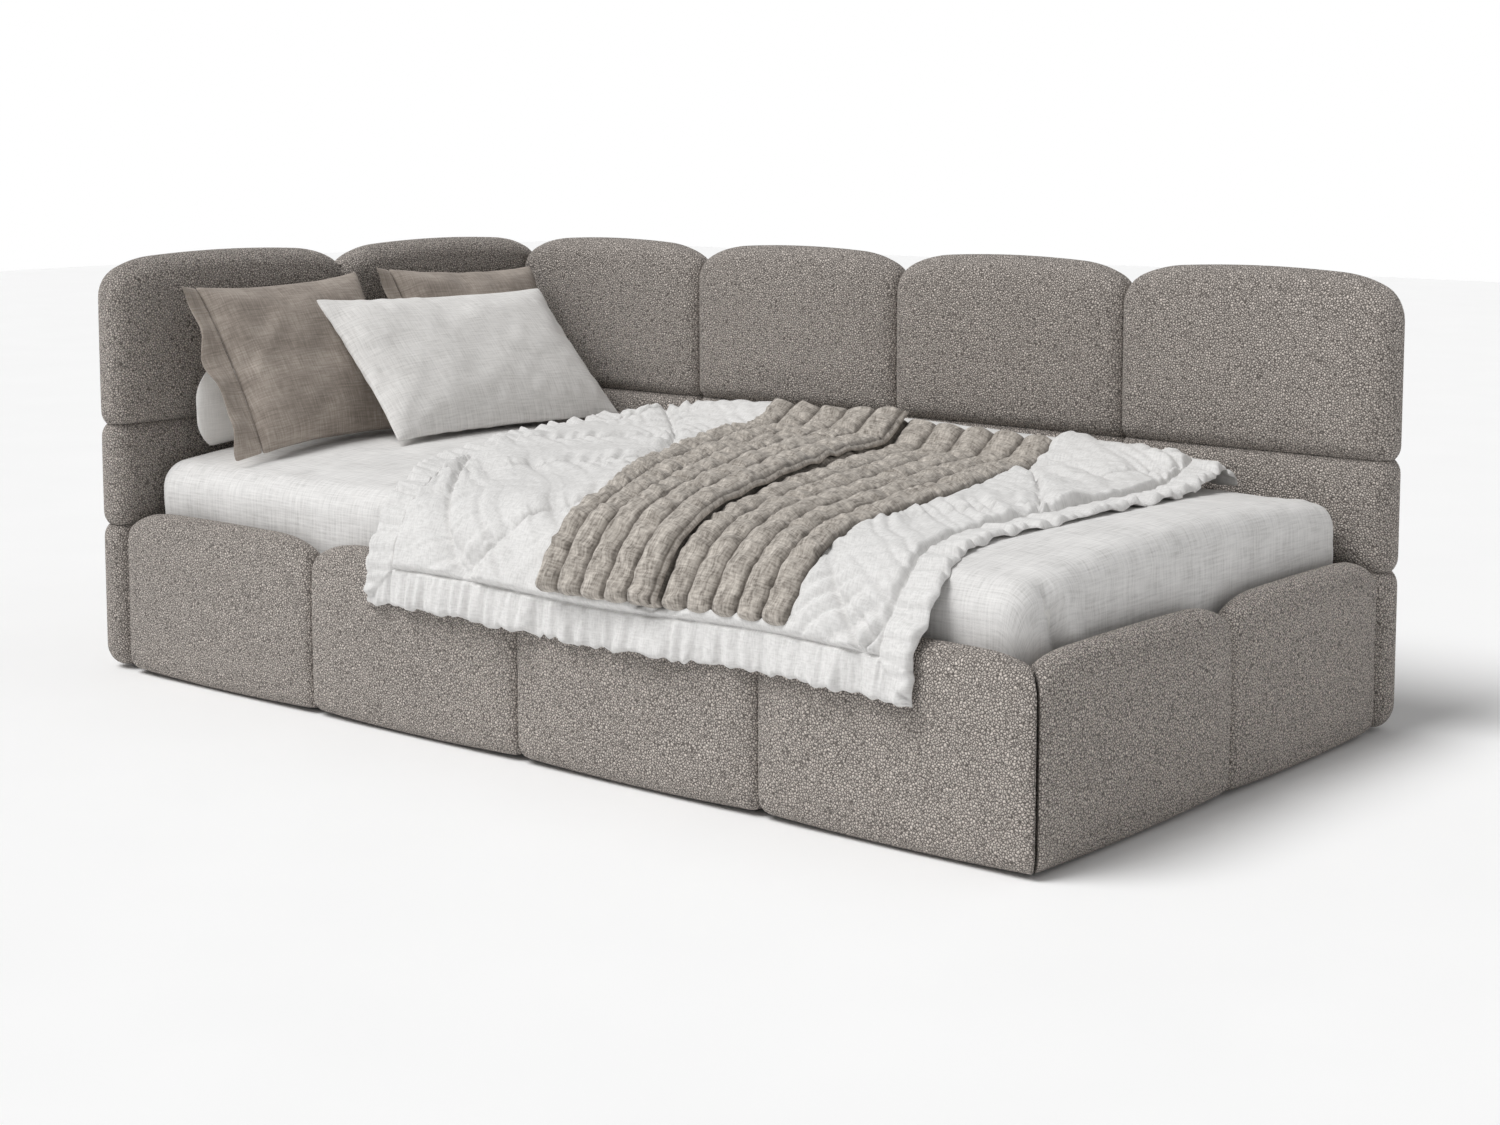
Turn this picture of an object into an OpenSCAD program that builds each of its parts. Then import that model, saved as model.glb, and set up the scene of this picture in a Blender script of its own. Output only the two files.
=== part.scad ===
// Upholstered corner daybed: a headboard and a long back panel of stacked pads, low padded rails on the two
// open sides, a slatted base, a mattress and its bedding. The daybed is built in a workshop frame whose X runs
// from the headboard to the foot and whose Y runs from the open front to the back panel. Every node is then
// moved so that the origin lies on the floor, below the middle of the whole daybed.

/* [Mattress] */
// Length of the mattress, from the headboard to the foot
mattress_l = 2000; // [1600:10:2400]
// Width of the mattress
mattress_w = 1000; // [830:10:1400]
// Height of the mattress at its edges
mattress_h = 180; // [140:5:260]
// How far the mattress rises from its long edges to its middle
mattress_crown = 32; // [10:1:50]
// Radius of the mattress corners
mattress_r = 45; // [20:1:60]
// Room between the mattress and the headboard
head_gap = 30; // [10:1:60]
// Room between the mattress and the foot rail
foot_gap = 15; // [5:1:60]
// Room between the mattress and the front rail
front_gap = 4; // [2:1:20]
// Room between the mattress and the back panel
back_gap = 21; // [10:1:60]
// Thickness of the fitted sheet
sheet_t = 1.5; // [1:0.5:3]

/* [Headboard and back panel] */
// Thickness of the headboard and the back panel, pads included
panel_t = 95; // [80:1:140]
// Height of the lowest row of pads, from the floor
row_1_h = 286; // [240:1:360]
// Height of the middle row of pads
row_2_h = 197; // [150:1:260]
// Height of the top row of pads
row_3_h = 330; // [260:1:420]
// Thickness of the boards inside the headboard and the back panel
panel_board_t = 22; // [16:1:30]
// Padding over the top edge and the free ends of these boards
panel_cover = 45; // [40:1:70]
// Edge radius of the headboard and back panel pads
panel_pad_r = 30; // [10:1:38]
// Extra length of the last pad of the back panel, next to the foot
back_end_extra = 20; // [0:1:60]

/* [Front and foot rails] */
// Thickness of the rails, pads included
rail_t = 60; // [50:1:90]
// Height of the rails
rail_h = 322; // [270:1:380]
// Thickness of the boards inside the rails
rail_board_t = 22; // [16:1:28]
// Padding over the top edge of the rail boards
rail_cover = 40; // [30:1:60]
// Edge radius of the rail pads
rail_pad_r = 24; // [10:1:25]
// Extra length of the first pad of the front rail, next to the headboard
front_end_extra = 20; // [0:1:60]
// Length of the foot rail pad at the open front corner
foot_pad_1_w = 571; // [300:1:650]
// Width of the flat end on which a rail pad and a panel pad press together
press_w = 6; // [4:1:10]

/* [Slatted base] */
// Height of the slats' upper faces above the floor
deck_h = 225; // [190:1:270]
// Number of slats
slat_count = 14; // [10:1:20]
// Width of one slat
slat_w = 70; // [40:1:90]
// Thickness of one slat
slat_t = 15; // [10:1:20]
// Width of the bearers that carry the slats
bearer_w = 35; // [28:1:50]
// Height of the bearers
bearer_h = 45; // [30:1:70]
// Width of the beam under the middle of the slats
beam_w = 45; // [30:1:70]
// Height of this beam
beam_h = 60; // [40:1:80]
// Thickness of the plastic pads under the slat ends
slat_pad_t = 4; // [2:1:8]
// Width of the square legs under the beam
leg_w = 45; // [30:1:60]
// Height of the glides that the boards and legs stand on
glide_h = 6; // [4:1:12]
// Radius of a glide
glide_r = 10; // [8:1:11]
// Thickness of the steel angle brackets and beam shoes
bracket_t = 3; // [2:0.5:5]
// Length of each arm of an angle bracket
bracket_arm = 60; // [40:1:80]
// Height of an angle bracket
bracket_h = 100; // [60:1:120]
// Shank radius of the bracket screws
screw_r = 3; // [2:0.5:4]

/* [Bedding] */
// Thickness of the quilt
quilt_t = 16; // [8:1:30]
// Height of the quilt's hem above the floor, at the open front
quilt_hem_z = 232; // [150:1:270]
// How high the quilt is bunched up along the back panel, above the mattress
quilt_bunch = 55; // [30:1:80]
// Thickness of the throw that lies over the quilt
throw_t = 14; // [8:1:25]
// Height of the throw's lower edge above the floor
throw_hem_z = 306; // [240:1:340]
// Room left between soft pieces that lie on each other
soft_gap = 1; // [0.5:0.5:4]
// Height of a taupe pillow
taupe_pillow_h = 360; // [250:1:400]
// Thickness of a taupe pillow
taupe_pillow_t = 62; // [50:1:120]
// Width of the flat flange at one end of a taupe pillow
flange_w = 50; // [20:1:60]
// Thickness of this flange
flange_t = 8; // [4:1:12]
// Distance of the front taupe pillow from the mattress' front edge
taupe_inset = 24; // [5:1:30]
// Distance of the rear taupe pillow from the mattress' back edge
taupe_back_inset = 12; // [5:1:30]
// Room between the two taupe pillows
taupe_pair_gap = 4; // [2:1:150]
// Lean of the taupe pillows from upright, in degrees
taupe_lean = 33; // [5:1:45]
// Room between the upper edges of the taupe pillows and the headboard
taupe_top_gap = 30; // [5:1:60]
// Width of the light linen pillow
linen_pillow_w = 645; // [500:1:660]
// Distance of the light linen pillow from the mattress' back edge
linen_back_inset = 25; // [10:1:60]
// Height of the light linen pillow
linen_pillow_h = 335; // [260:1:400]
// Thickness of the light linen pillow
linen_pillow_t = 75; // [60:1:120]
// Lean of the light linen pillow from upright, in degrees
linen_lean = 41; // [25:1:50]
// Width of the white sleeping pillow that stands behind the others
white_pillow_w = 744; // [500:1:760]
// Distance of the white sleeping pillow from the mattress' front edge
white_inset = 78; // [60:1:200]
// Height at which the white sleeping pillow stands
white_pillow_h = 150; // [100:1:200]
// Thickness of the white sleeping pillow
white_pillow_t = 90; // [50:1:110]

/* [Hidden] */
$fn = 48;

// Lengths along X
mattress_x = panel_t + head_gap;
foot_in_x = mattress_x + mattress_l + foot_gap;
bed_l = foot_in_x + rail_t;
// Lengths along Y
mattress_y = rail_t + front_gap;
back_in_y = mattress_y + mattress_w + back_gap;
bed_w = back_in_y + panel_t;
// Heights
seam_1_z = row_1_h;
seam_2_z = row_1_h + row_2_h;
panel_h = seam_2_z + row_3_h;
mattress_edge_z = deck_h + mattress_h;
mattress_top_z = mattress_edge_z + mattress_crown;
// Boards
panel_board_in = (panel_t - panel_board_t) / 2;
head_board_x = panel_board_in + panel_board_t;
back_board_y = bed_w - head_board_x;
front_board_y = rail_t - rail_board_t;
foot_board_x = bed_l - front_board_y;
// Edge radii of the pads as made, which leave the flat end on which rail and panel pads press together
rail_edge_r = min(rail_pad_r, (rail_t - press_w) / 2);
panel_edge_r = min(panel_pad_r, rail_t - rail_edge_r - press_w);
// Columns of pads
back_pad_w = (bed_l - panel_t - back_end_extra) / 4;
front_pad_w = (bed_l - panel_t - front_end_extra) / 4;
// Inside of the base
bearer_z = deck_h - slat_t - slat_pad_t - bearer_h;
beam_top_z = deck_h - slat_t;
beam_y = (rail_t + back_board_y) / 2;
slat_margin = 8;
slat_l = back_board_y - rail_t - 2 * slat_margin;
slat_first_x = head_board_x + bearer_w + slat_w / 2 + 25;
slat_last_x = foot_in_x - bearer_w - slat_w / 2 - 25;
slat_pitch = (slat_last_x - slat_first_x) / (slat_count - 1);
leg_inset = 600;
bracket_z = 40;
screw_l = 16;
glide_inset = 120;
foot_room = 1;
// Soft pieces
crown_half = mattress_w / 2;
crown_radius = (crown_half * crown_half + mattress_crown * mattress_crown) / (2 * mattress_crown);
bedding_z = mattress_top_z + sheet_t + soft_gap;
front_proud = soft_gap + quilt_t + soft_gap + throw_t;

// Puts the workshop frame's corner so that the origin is below the middle of the whole daybed
module place() {
    translate([-bed_l / 2, (front_proud - bed_w) / 2, 0]) children();
}

// A flat rectangle with round corners, from the origin
module round_rect(w, h, r) {
    translate([r, 0]) square([w - 2 * r, h]);
    translate([0, r]) square([w, h - 2 * r]);
    for (x = [r, w - r]) {
        for (y = [r, h - r]) {
            translate([x, y]) circle(r);
        }
    }
}

// A block with its edges rounded in all three directions
module soft_block(at, size, r) {
    translate(at) intersection() {
        linear_extrude(size.z) round_rect(size.x, size.y, r);
        translate([0, size.y, 0]) rotate([90, 0, 0]) linear_extrude(size.y) round_rect(size.x, size.z, r);
        rotate([90, 0, 90]) linear_extrude(size.x) round_rect(size.y, size.z, r);
    }
}

// A plain block between two opposite corners
module block(low, high) {
    translate(low) cube(high - low);
}

// The four boards from a given height up: the pads are cut to fit around them down to the floor
module headboard_board_shape(low_z) {
    low = [panel_board_in, panel_cover, low_z];
    block(low, [head_board_x, bed_w - panel_cover, panel_h - panel_cover]);
}

// It butts against the headboard's board
module back_board_shape(low_z) {
    low = [head_board_x, back_board_y, low_z];
    block(low, [bed_l - panel_cover, back_board_y + panel_board_t, panel_h - panel_cover]);
}

// It lies at the inner face of the front rail and butts against the headboard's board
module front_board_shape(low_z) {
    block([head_board_x, front_board_y, low_z], [foot_board_x, rail_t, rail_h - rail_cover]);
}

// It lies at the inner face of the foot rail, between the front rail's and the back panel's boards
module foot_board_shape(low_z) {
    block([foot_in_x, rail_t, low_z], [foot_board_x, back_board_y, rail_h - rail_cover]);
}

module boards_room() {
    headboard_board_shape(-1);
    back_board_shape(-1);
    front_board_shape(-1);
    foot_board_shape(-1);
}

// A board with holes for the bracket screws
module drilled_board() {
    color("tan") difference() {
        children();
        at_corners() bracket_shanks(screw_r, screw_l);
    }
}

module headboard_board() {
    drilled_board() headboard_board_shape(glide_h);
}

module back_panel_board() {
    drilled_board() back_board_shape(glide_h);
}

module front_rail_board() {
    drilled_board() front_board_shape(glide_h);
}

module foot_rail_board() {
    drilled_board() foot_board_shape(glide_h);
}

// The room inside the base, between the four boards and below the first seam of the panels
module base_room() {
    block([head_board_x, rail_t, -1], [foot_in_x, back_board_y, seam_1_z]);
}

// One pad of the headboard: row 1 to 3 from the floor, column 0 at the front and 1 at the back
module headboard_pad(row, column) {
    low_z = row_low(row);
    color([0.50, 0.46, 0.42]) difference() {
        soft_block([0, column * bed_w / 2, low_z], [panel_t, bed_w / 2, row_high(row) - low_z], panel_edge_r);
        boards_room();
        base_room();
    }
}

// One pad of the back panel: row 1 to 3 from the floor, columns 0 to 3 from the headboard to the foot
module back_pad(row, column) {
    low_z = row_low(row);
    extra = column == 3 ? back_end_extra : 0;
    size = [back_pad_w + extra, panel_t, row_high(row) - low_z];
    color([0.52, 0.48, 0.44]) difference() {
        soft_block([panel_t + column * back_pad_w, back_in_y, low_z], size, panel_edge_r);
        boards_room();
        base_room();
    }
}

// Lower and upper height of a row of pads; the lowest row just clears the floor
function row_low(row) = row == 1 ? foot_room : row == 2 ? seam_1_z : seam_2_z;
function row_high(row) = row == 1 ? seam_1_z : row == 2 ? seam_2_z : panel_h;

// The slanting cut where the front and foot rails meet: everything on the foot side of it
module mitre_foot_side() {
    reach = 2 * rail_t;
    far = [[bed_l + reach, -reach], [bed_l + reach, bed_w], [bed_l - rail_t, bed_w], [bed_l - rail_t, rail_t]];
    linear_extrude(rail_h + 1) polygon(far);
}

// One pad of the front rail, columns 0 to 3 from the headboard to the foot
module front_rail_pad(column) {
    extra = front_end_extra;
    start_x = panel_t + column * front_pad_w + (column == 0 ? 0 : extra);
    size = [front_pad_w + (column == 0 ? extra : 0), rail_t, rail_h - foot_room];
    color([0.54, 0.50, 0.46]) difference() {
        soft_block([start_x, 0, foot_room], size, rail_edge_r);
        boards_room();
        mitre_foot_side();
    }
}

// One pad of the foot rail, column 0 at the open corner and 1 next to the back panel
module foot_rail_pad(column) {
    start_y = column == 0 ? 0 : foot_pad_1_w;
    pad_w = column == 0 ? foot_pad_1_w : back_in_y - foot_pad_1_w;
    color([0.46, 0.42, 0.38]) intersection() {
        difference() {
            soft_block([bed_l - rail_t, start_y, foot_room], [rail_t, pad_w, rail_h - foot_room], rail_edge_r);
            boards_room();
        }
        mitre_foot_side();
    }
}

// A timber bearer between two corners
module bearer(low, high) {
    color("burlywood") block(low, high);
}

// Heights of the bearers, as the low and high corners' last number
bearer_top_z = bearer_z + bearer_h;

module front_bearer() {
    bearer([head_board_x, rail_t, bearer_z], [foot_in_x, rail_t + bearer_w, bearer_top_z]);
}

module back_bearer() {
    bearer([head_board_x, back_board_y - bearer_w, bearer_z], [foot_in_x, back_board_y, bearer_top_z]);
}

// The two short bearers stand between the long ones
module head_bearer() {
    low = [head_board_x, rail_t + bearer_w, bearer_z];
    bearer(low, [head_board_x + bearer_w, back_board_y - bearer_w, bearer_top_z]);
}

module foot_bearer() {
    low = [foot_in_x - bearer_w, rail_t + bearer_w, bearer_z];
    bearer(low, [foot_in_x, back_board_y - bearer_w, bearer_top_z]);
}

// The beam runs between the short bearers and holds the slats up along their middle
module centre_beam() {
    low = [head_board_x + bearer_w + bracket_t, beam_y - beam_w / 2, beam_top_z - beam_h];
    high = [foot_in_x - bearer_w - bracket_t, beam_y + beam_w / 2, beam_top_z];
    color("burlywood") block(low, high);
}

// A steel shoe: a plate on the bearer with a floor and two cheeks around the beam's end
module beam_shoe() {
    shoe_l = 40;
    side = beam_w / 2;
    low_z = beam_top_z - beam_h - bracket_t;
    block([0, -side - bracket_t, low_z], [bracket_t, side + bracket_t, bearer_top_z]);
    block([0, -side - bracket_t, low_z], [shoe_l, side + bracket_t, low_z + bracket_t]);
    block([0, -side - bracket_t, low_z], [shoe_l, -side, bearer_top_z]);
    block([0, side, low_z], [shoe_l, side + bracket_t, bearer_top_z]);
}

module beam_shoes() {
    color("silver") {
        translate([head_board_x + bearer_w, beam_y, 0]) beam_shoe();
        translate([foot_in_x - bearer_w, beam_y, 0]) mirror([1, 0, 0]) beam_shoe();
    }
}

// A square leg that stands on a glide, under the beam
module beam_leg(x) {
    low = [x - leg_w / 2, beam_y - leg_w / 2, glide_h];
    color("burlywood") block(low, [x + leg_w / 2, beam_y + leg_w / 2, beam_top_z - beam_h]);
}

// Middles of the slats along X
function slat_x(i) = slat_first_x + i * slat_pitch;

// The slats lie across the base on their end pads and on the beam
module slats() {
    color("wheat") for (i = [0:slat_count - 1]) {
        translate([slat_x(i) - slat_w / 2, rail_t + slat_margin, beam_top_z]) cube([slat_w, slat_l, slat_t]);
    }
}

// A soft plastic pad under each end of each slat
module slat_end_pads() {
    pad_l = bearer_w - slat_margin;
    color("dimgray") for (i = [0:slat_count - 1]) {
        for (y = [rail_t + slat_margin, back_board_y - slat_margin - pad_l]) {
            translate([slat_x(i) - slat_w / 2, y, bearer_top_z]) cube([slat_w, pad_l, slat_pad_t]);
        }
    }
}

// Puts a copy into each inner corner of the base, turned so that its arms lie on the two boards
module at_corners() {
    translate([head_board_x, rail_t, bracket_z]) children();
    translate([head_board_x, back_board_y, bracket_z]) mirror([0, 1, 0]) children();
    translate([foot_in_x, rail_t, bracket_z]) mirror([1, 0, 0]) children();
    translate([foot_in_x, back_board_y, bracket_z]) mirror([1, 0, 0]) mirror([0, 1, 0]) children();
}

// Places of the screws along an arm of a bracket, and their heights above its lower edge
screw_along = bracket_arm * 0.6;
screw_heights = [bracket_h * 0.25, bracket_h * 0.75];

// Screw shanks of one bracket, which go through its arms into the boards
module bracket_shanks(r, l) {
    for (z = screw_heights) {
        translate([bracket_t - l, screw_along, z]) rotate([0, 90, 0]) cylinder(h = l, r = r);
        translate([screw_along, bracket_t, z]) rotate([90, 0, 0]) cylinder(h = l, r = r);
    }
}

// One steel angle with a hole for each screw
module corner_bracket() {
    difference() {
        union() {
            cube([bracket_t, bracket_arm, bracket_h]);
            cube([bracket_arm, bracket_t, bracket_h]);
        }
        bracket_shanks(screw_r, screw_l);
    }
}

module corner_brackets() {
    color("silver") at_corners() corner_bracket();
}

// Pan-head screws: the heads sit on the brackets, the shanks reach into the boards
module bracket_screw_set() {
    head_h = 2.5;
    head_r = 2 * screw_r;
    bracket_shanks(screw_r, screw_l);
    for (z = screw_heights) {
        translate([bracket_t, screw_along, z]) rotate([0, 90, 0]) cylinder(h = head_h, r = head_r);
        translate([screw_along, bracket_t + head_h, z]) rotate([90, 0, 0]) cylinder(h = head_h, r = head_r);
    }
}

module bracket_screws() {
    color("gray") at_corners() bracket_screw_set();
}

// A round glide that stands on the floor
module glide(x, y) {
    translate([x, y, 0]) cylinder(h = glide_h, r = glide_r);
}

// Glides under the ends of the four boards and under the beam's legs
module glides() {
    head_x = panel_board_in + panel_board_t / 2;
    back_y = back_board_y + panel_board_t / 2;
    front_y = front_board_y + rail_board_t / 2;
    foot_x = foot_in_x + rail_board_t / 2;
    color("black") {
        for (y = [glide_inset, bed_w - glide_inset]) {
            glide(head_x, y);
        }
        for (x = [glide_inset + panel_t, bed_l / 2, bed_l - glide_inset]) {
            glide(x, front_y);
            glide(x, back_y);
        }
        for (y = [glide_inset, back_board_y - glide_inset]) {
            glide(foot_x, y);
        }
        for (x = [leg_inset, bed_l - leg_inset]) {
            glide(x, beam_y);
        }
    }
}

// The mattress' body grown by a margin on every side but its underside
module mattress_body(margin) {
    size = [mattress_l + 2 * margin, mattress_w + 2 * margin, mattress_h + mattress_crown + margin];
    arch_z = mattress_top_z + margin - crown_radius;
    intersection() {
        translate([mattress_x - margin, mattress_y - margin, deck_h]) {
            linear_extrude(size.z) round_rect(size.x, size.y, mattress_r + margin);
        }
        translate([mattress_x - margin, mattress_y + crown_half, arch_z]) {
            rotate([0, 90, 0]) cylinder(h = size.x, r = crown_radius, $fn = 360);
        }
    }
}

module mattress() {
    color("whitesmoke") mattress_body(0);
}

// The fitted sheet wraps the mattress' top and sides
module fitted_sheet() {
    color("white") difference() {
        mattress_body(sheet_t);
        mattress_body(0);
    }
}

// Height of the sheet's upper face across the bed
function sheet_z(y) = mattress_top_z + sheet_t - crown_radius
    + sqrt(crown_radius * crown_radius - pow(y - mattress_y - crown_half, 2));

// A line moved square to itself by d, to its left
function along(line, i) = line[min(i + 1, len(line) - 1)] - line[max(i - 1, 0)];
function left_of(v) = [-v.y, v.x] / norm(v);
function shifted(line, d) = [for (i = [0:len(line) - 1]) line[i] + d * left_of(along(line, i))];
function reversed(line) = [for (i = [len(line) - 1:-1:0]) line[i]];

// The line that the quilt's underside follows, seen from the foot: up the outside of the front rail, over the
// mattress' front edge and back across the mattress
rail_corner = 12;
drape_steps = 8;
drape_back = 20;
drape_start_y = mattress_y + mattress_r / 2;
drape_end_y = mattress_y + mattress_w - drape_back;
function drape_line(hem_z) = concat(
    [[0, hem_z], [0, rail_h - rail_corner], [rail_corner, rail_h + 4], [rail_t - 6, mattress_edge_z + 4]],
    [for (i = [0:drape_steps])
        let (y = drape_start_y + i * (drape_end_y - drape_start_y) / drape_steps)
        [y, sheet_z(y)]]
);

// The quilt's upper face: its underside lifted by its thickness, and bunched up over its last stretch
function quilt_top(hem_z) = [
    for (i = [0:len(drape_line(hem_z)) - 1])
        shifted(drape_line(hem_z), soft_gap + quilt_t)[i] + [0, i > len(drape_line(hem_z)) - 3 ? quilt_bunch : 0]
];

// A cloth between two lines seen from the foot, cut to an outline seen from above
module draped(under, over, outline) {
    intersection() {
        rotate([90, 0, 90]) linear_extrude(bed_l) polygon(concat(under, reversed(over)));
        linear_extrude(panel_h) polygon(outline);
    }
}

// Plan outlines of the quilt and of the throw, with X from the mattress' head end: from the open front back
// along the head side, and to the front again along the foot side
cut_front_y = -100;
quilt_plan = [
    [690, cut_front_y], [690, 30], [560, 240], [480, 520], [380, bed_w],
    [1820, bed_w], [1860, 640], [1825, 260], [1875, 40], [1865, cut_front_y]
];
throw_plan = [
    [1138, cut_front_y], [1138, 100], [1026, 324], [800, bed_w],
    [1440, bed_w], [1600, 486], [1640, 40], [1622, cut_front_y]
];
function from_head(plan) = [for (p = plan) p + [mattress_x, 0]];

module quilt() {
    color("snow") draped(shifted(drape_line(quilt_hem_z), soft_gap), quilt_top(quilt_hem_z), from_head(quilt_plan));
}

// The throw lies on the quilt and hangs over the front rail with it
module throw() {
    under = shifted(quilt_top(throw_hem_z), soft_gap);
    over = shifted(quilt_top(throw_hem_z), soft_gap + throw_t);
    color("rosybrown") draped(under, over, from_head(throw_plan));
}

// A pillow that leans towards the headboard by an angle, from the place of its lower back edge
module leaning(x, y, angle) {
    translate([x, y, bedding_z]) rotate([0, -angle, 0]) children();
}

// Places of the lower back edges: the taupe pillows clear both the white one and the headboard, and the linen
// pillow leans on them
taupe_x = max(
    panel_t + 3 * soft_gap + white_pillow_t + white_pillow_h * tan(taupe_lean),
    panel_t + taupe_top_gap + taupe_pillow_h * sin(taupe_lean)
);
linen_top_z = linen_pillow_h * cos(linen_lean);
taupe_face_x = taupe_x + taupe_pillow_t / cos(taupe_lean) - linen_top_z * tan(taupe_lean);
linen_x = taupe_face_x + soft_gap + linen_pillow_h * sin(linen_lean);

// The two taupe pillows share the width of the mattress; the linen pillow keeps to its back edge
taupe_pillow_w = (mattress_w - taupe_inset - taupe_back_inset - taupe_pair_gap) / 2 - flange_w;
linen_inset = mattress_w - linen_back_inset - linen_pillow_w;

module taupe_pillow() {
    body = [taupe_pillow_t, taupe_pillow_w, taupe_pillow_h];
    color([0.47, 0.42, 0.36]) {
        soft_block([0, flange_w, 0], body, taupe_pillow_t / 2 - 1);
        translate([(taupe_pillow_t - flange_t) / 2, 0, 4]) {
            cube([flange_t, flange_w + taupe_pillow_t / 2, taupe_pillow_h - 8]);
        }
    }
}

module taupe_pillow_front() {
    leaning(taupe_x, mattress_y + taupe_inset, taupe_lean) taupe_pillow();
}

module taupe_pillow_rear() {
    rear_y = mattress_y + mattress_w - taupe_back_inset - flange_w - taupe_pillow_w;
    leaning(taupe_x, rear_y, taupe_lean) taupe_pillow();
}

module linen_pillow() {
    size = [linen_pillow_t, linen_pillow_w, linen_pillow_h];
    leaning(linen_x, mattress_y + linen_inset, linen_lean) {
        color("lightgray") soft_block([0, 0, 0], size, linen_pillow_t / 2 - 1);
    }
}

module white_pillow() {
    size = [white_pillow_t, white_pillow_w, white_pillow_h];
    corner = [panel_t + 2 * soft_gap, mattress_y + white_inset, bedding_z];
    color("white") soft_block(corner, size, white_pillow_t / 2 - 1);
}

place() {
    headboard_board();
    back_panel_board();
    front_rail_board();
    foot_rail_board();
    headboard_pad(1, 0);  // headboard_pad_1a
    headboard_pad(1, 1);  // headboard_pad_1b
    headboard_pad(2, 0);  // headboard_pad_2a
    headboard_pad(2, 1);  // headboard_pad_2b
    headboard_pad(3, 0);  // headboard_pad_3a
    headboard_pad(3, 1);  // headboard_pad_3b
    back_pad(1, 0);  // back_pad_1a
    back_pad(1, 1);  // back_pad_1b
    back_pad(1, 2);  // back_pad_1c
    back_pad(1, 3);  // back_pad_1d
    back_pad(2, 0);  // back_pad_2a
    back_pad(2, 1);  // back_pad_2b
    back_pad(2, 2);  // back_pad_2c
    back_pad(2, 3);  // back_pad_2d
    back_pad(3, 0);  // back_pad_3a
    back_pad(3, 1);  // back_pad_3b
    back_pad(3, 2);  // back_pad_3c
    back_pad(3, 3);  // back_pad_3d
    front_rail_pad(0);  // front_rail_pad_a
    front_rail_pad(1);  // front_rail_pad_b
    front_rail_pad(2);  // front_rail_pad_c
    front_rail_pad(3);  // front_rail_pad_d
    foot_rail_pad(0);  // foot_rail_pad_a
    foot_rail_pad(1);  // foot_rail_pad_b
    front_bearer();
    back_bearer();
    head_bearer();
    foot_bearer();
    centre_beam();
    beam_shoes();
    beam_leg(leg_inset);  // beam_leg_head
    beam_leg(bed_l - leg_inset);  // beam_leg_foot
    slats();
    slat_end_pads();
    corner_brackets();
    bracket_screws();
    glides();
    mattress();
    fitted_sheet();
    quilt();
    throw();
    taupe_pillow_front();
    taupe_pillow_rear();
    linen_pillow();
    white_pillow();
}
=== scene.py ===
"""An upholstered corner daybed: padded panels and rails, a made-up mattress, quilt, throw and pillows."""

import logging
import math
from dataclasses import dataclass, field
from enum import Enum

import bpy
import numpy as np
from mathutils import Euler, Matrix, Vector


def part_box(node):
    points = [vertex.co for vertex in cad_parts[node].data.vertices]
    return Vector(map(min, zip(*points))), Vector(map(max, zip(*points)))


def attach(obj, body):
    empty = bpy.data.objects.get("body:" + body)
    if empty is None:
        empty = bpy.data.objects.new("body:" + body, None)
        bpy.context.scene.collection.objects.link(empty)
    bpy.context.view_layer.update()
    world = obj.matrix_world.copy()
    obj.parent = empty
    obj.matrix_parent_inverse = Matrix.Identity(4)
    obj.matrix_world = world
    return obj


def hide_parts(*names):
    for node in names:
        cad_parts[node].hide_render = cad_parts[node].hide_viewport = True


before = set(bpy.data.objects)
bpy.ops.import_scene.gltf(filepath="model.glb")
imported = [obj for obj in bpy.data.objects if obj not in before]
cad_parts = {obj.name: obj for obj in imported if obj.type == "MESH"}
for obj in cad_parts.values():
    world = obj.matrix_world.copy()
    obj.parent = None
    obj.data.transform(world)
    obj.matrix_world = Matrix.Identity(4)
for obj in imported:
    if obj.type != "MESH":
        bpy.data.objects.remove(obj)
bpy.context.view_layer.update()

ROOT = "root"
LOG = logging.getLogger("daybed")
Colour = tuple[float, float, float]
Point = tuple[float, float, float]


# ---------------------------------------------------------------- shared maths


def ease(low: float, high: float, value: np.ndarray) -> np.ndarray:
    """Turns a value into a smooth step from 0 to 1.

    Args:
        low: the value at and below which the step is 0.
        high: the value at and above which the step is 1.
        value: the values to turn.

    Returns:
        The steps, in the shape of value.
    """
    t = np.clip((value - low) / (high - low), 0.0, 1.0)
    return t * t * (3.0 - 2.0 * t)


def scatter(column: np.ndarray, row: np.ndarray, seed: int) -> np.ndarray:
    """Gives every lattice cell its own fixed number between -1 and 1.

    Args:
        column: whole column numbers.
        row: whole row numbers.
        seed: which of many such fields to take.

    Returns:
        The numbers, in the shape of column.
    """
    mask = np.int64(0xFFFFFFFF)
    n = (column * 374761393 + row * 668265263 + seed * 974634777) & mask
    n = ((n ^ (n >> 13)) * 1274126177) & mask
    return ((n ^ (n >> 16)) & 0xFFFF) / 32767.5 - 1.0


def unevenness(x: np.ndarray, y: np.ndarray, seed: int) -> np.ndarray:
    """Smooth unevenness between -1 and 1 that changes over about one unit.

    Args:
        x: first coordinate, already divided by the size of the unevenness.
        y: second coordinate, the same.
        seed: which of many such fields to take.

    Returns:
        The unevenness, in the shape of x.
    """
    column, row = np.floor(x).astype(np.int64), np.floor(y).astype(np.int64)
    fx, fy = x - column, y - row
    fx, fy = fx * fx * (3 - 2 * fx), fy * fy * (3 - 2 * fy)
    low = scatter(column, row, seed) * (1 - fx) + scatter(column + 1, row, seed) * fx
    high = scatter(column, row + 1, seed) * (1 - fx) + scatter(column + 1, row + 1, seed) * fx
    return low * (1 - fy) + high * fy


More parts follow.
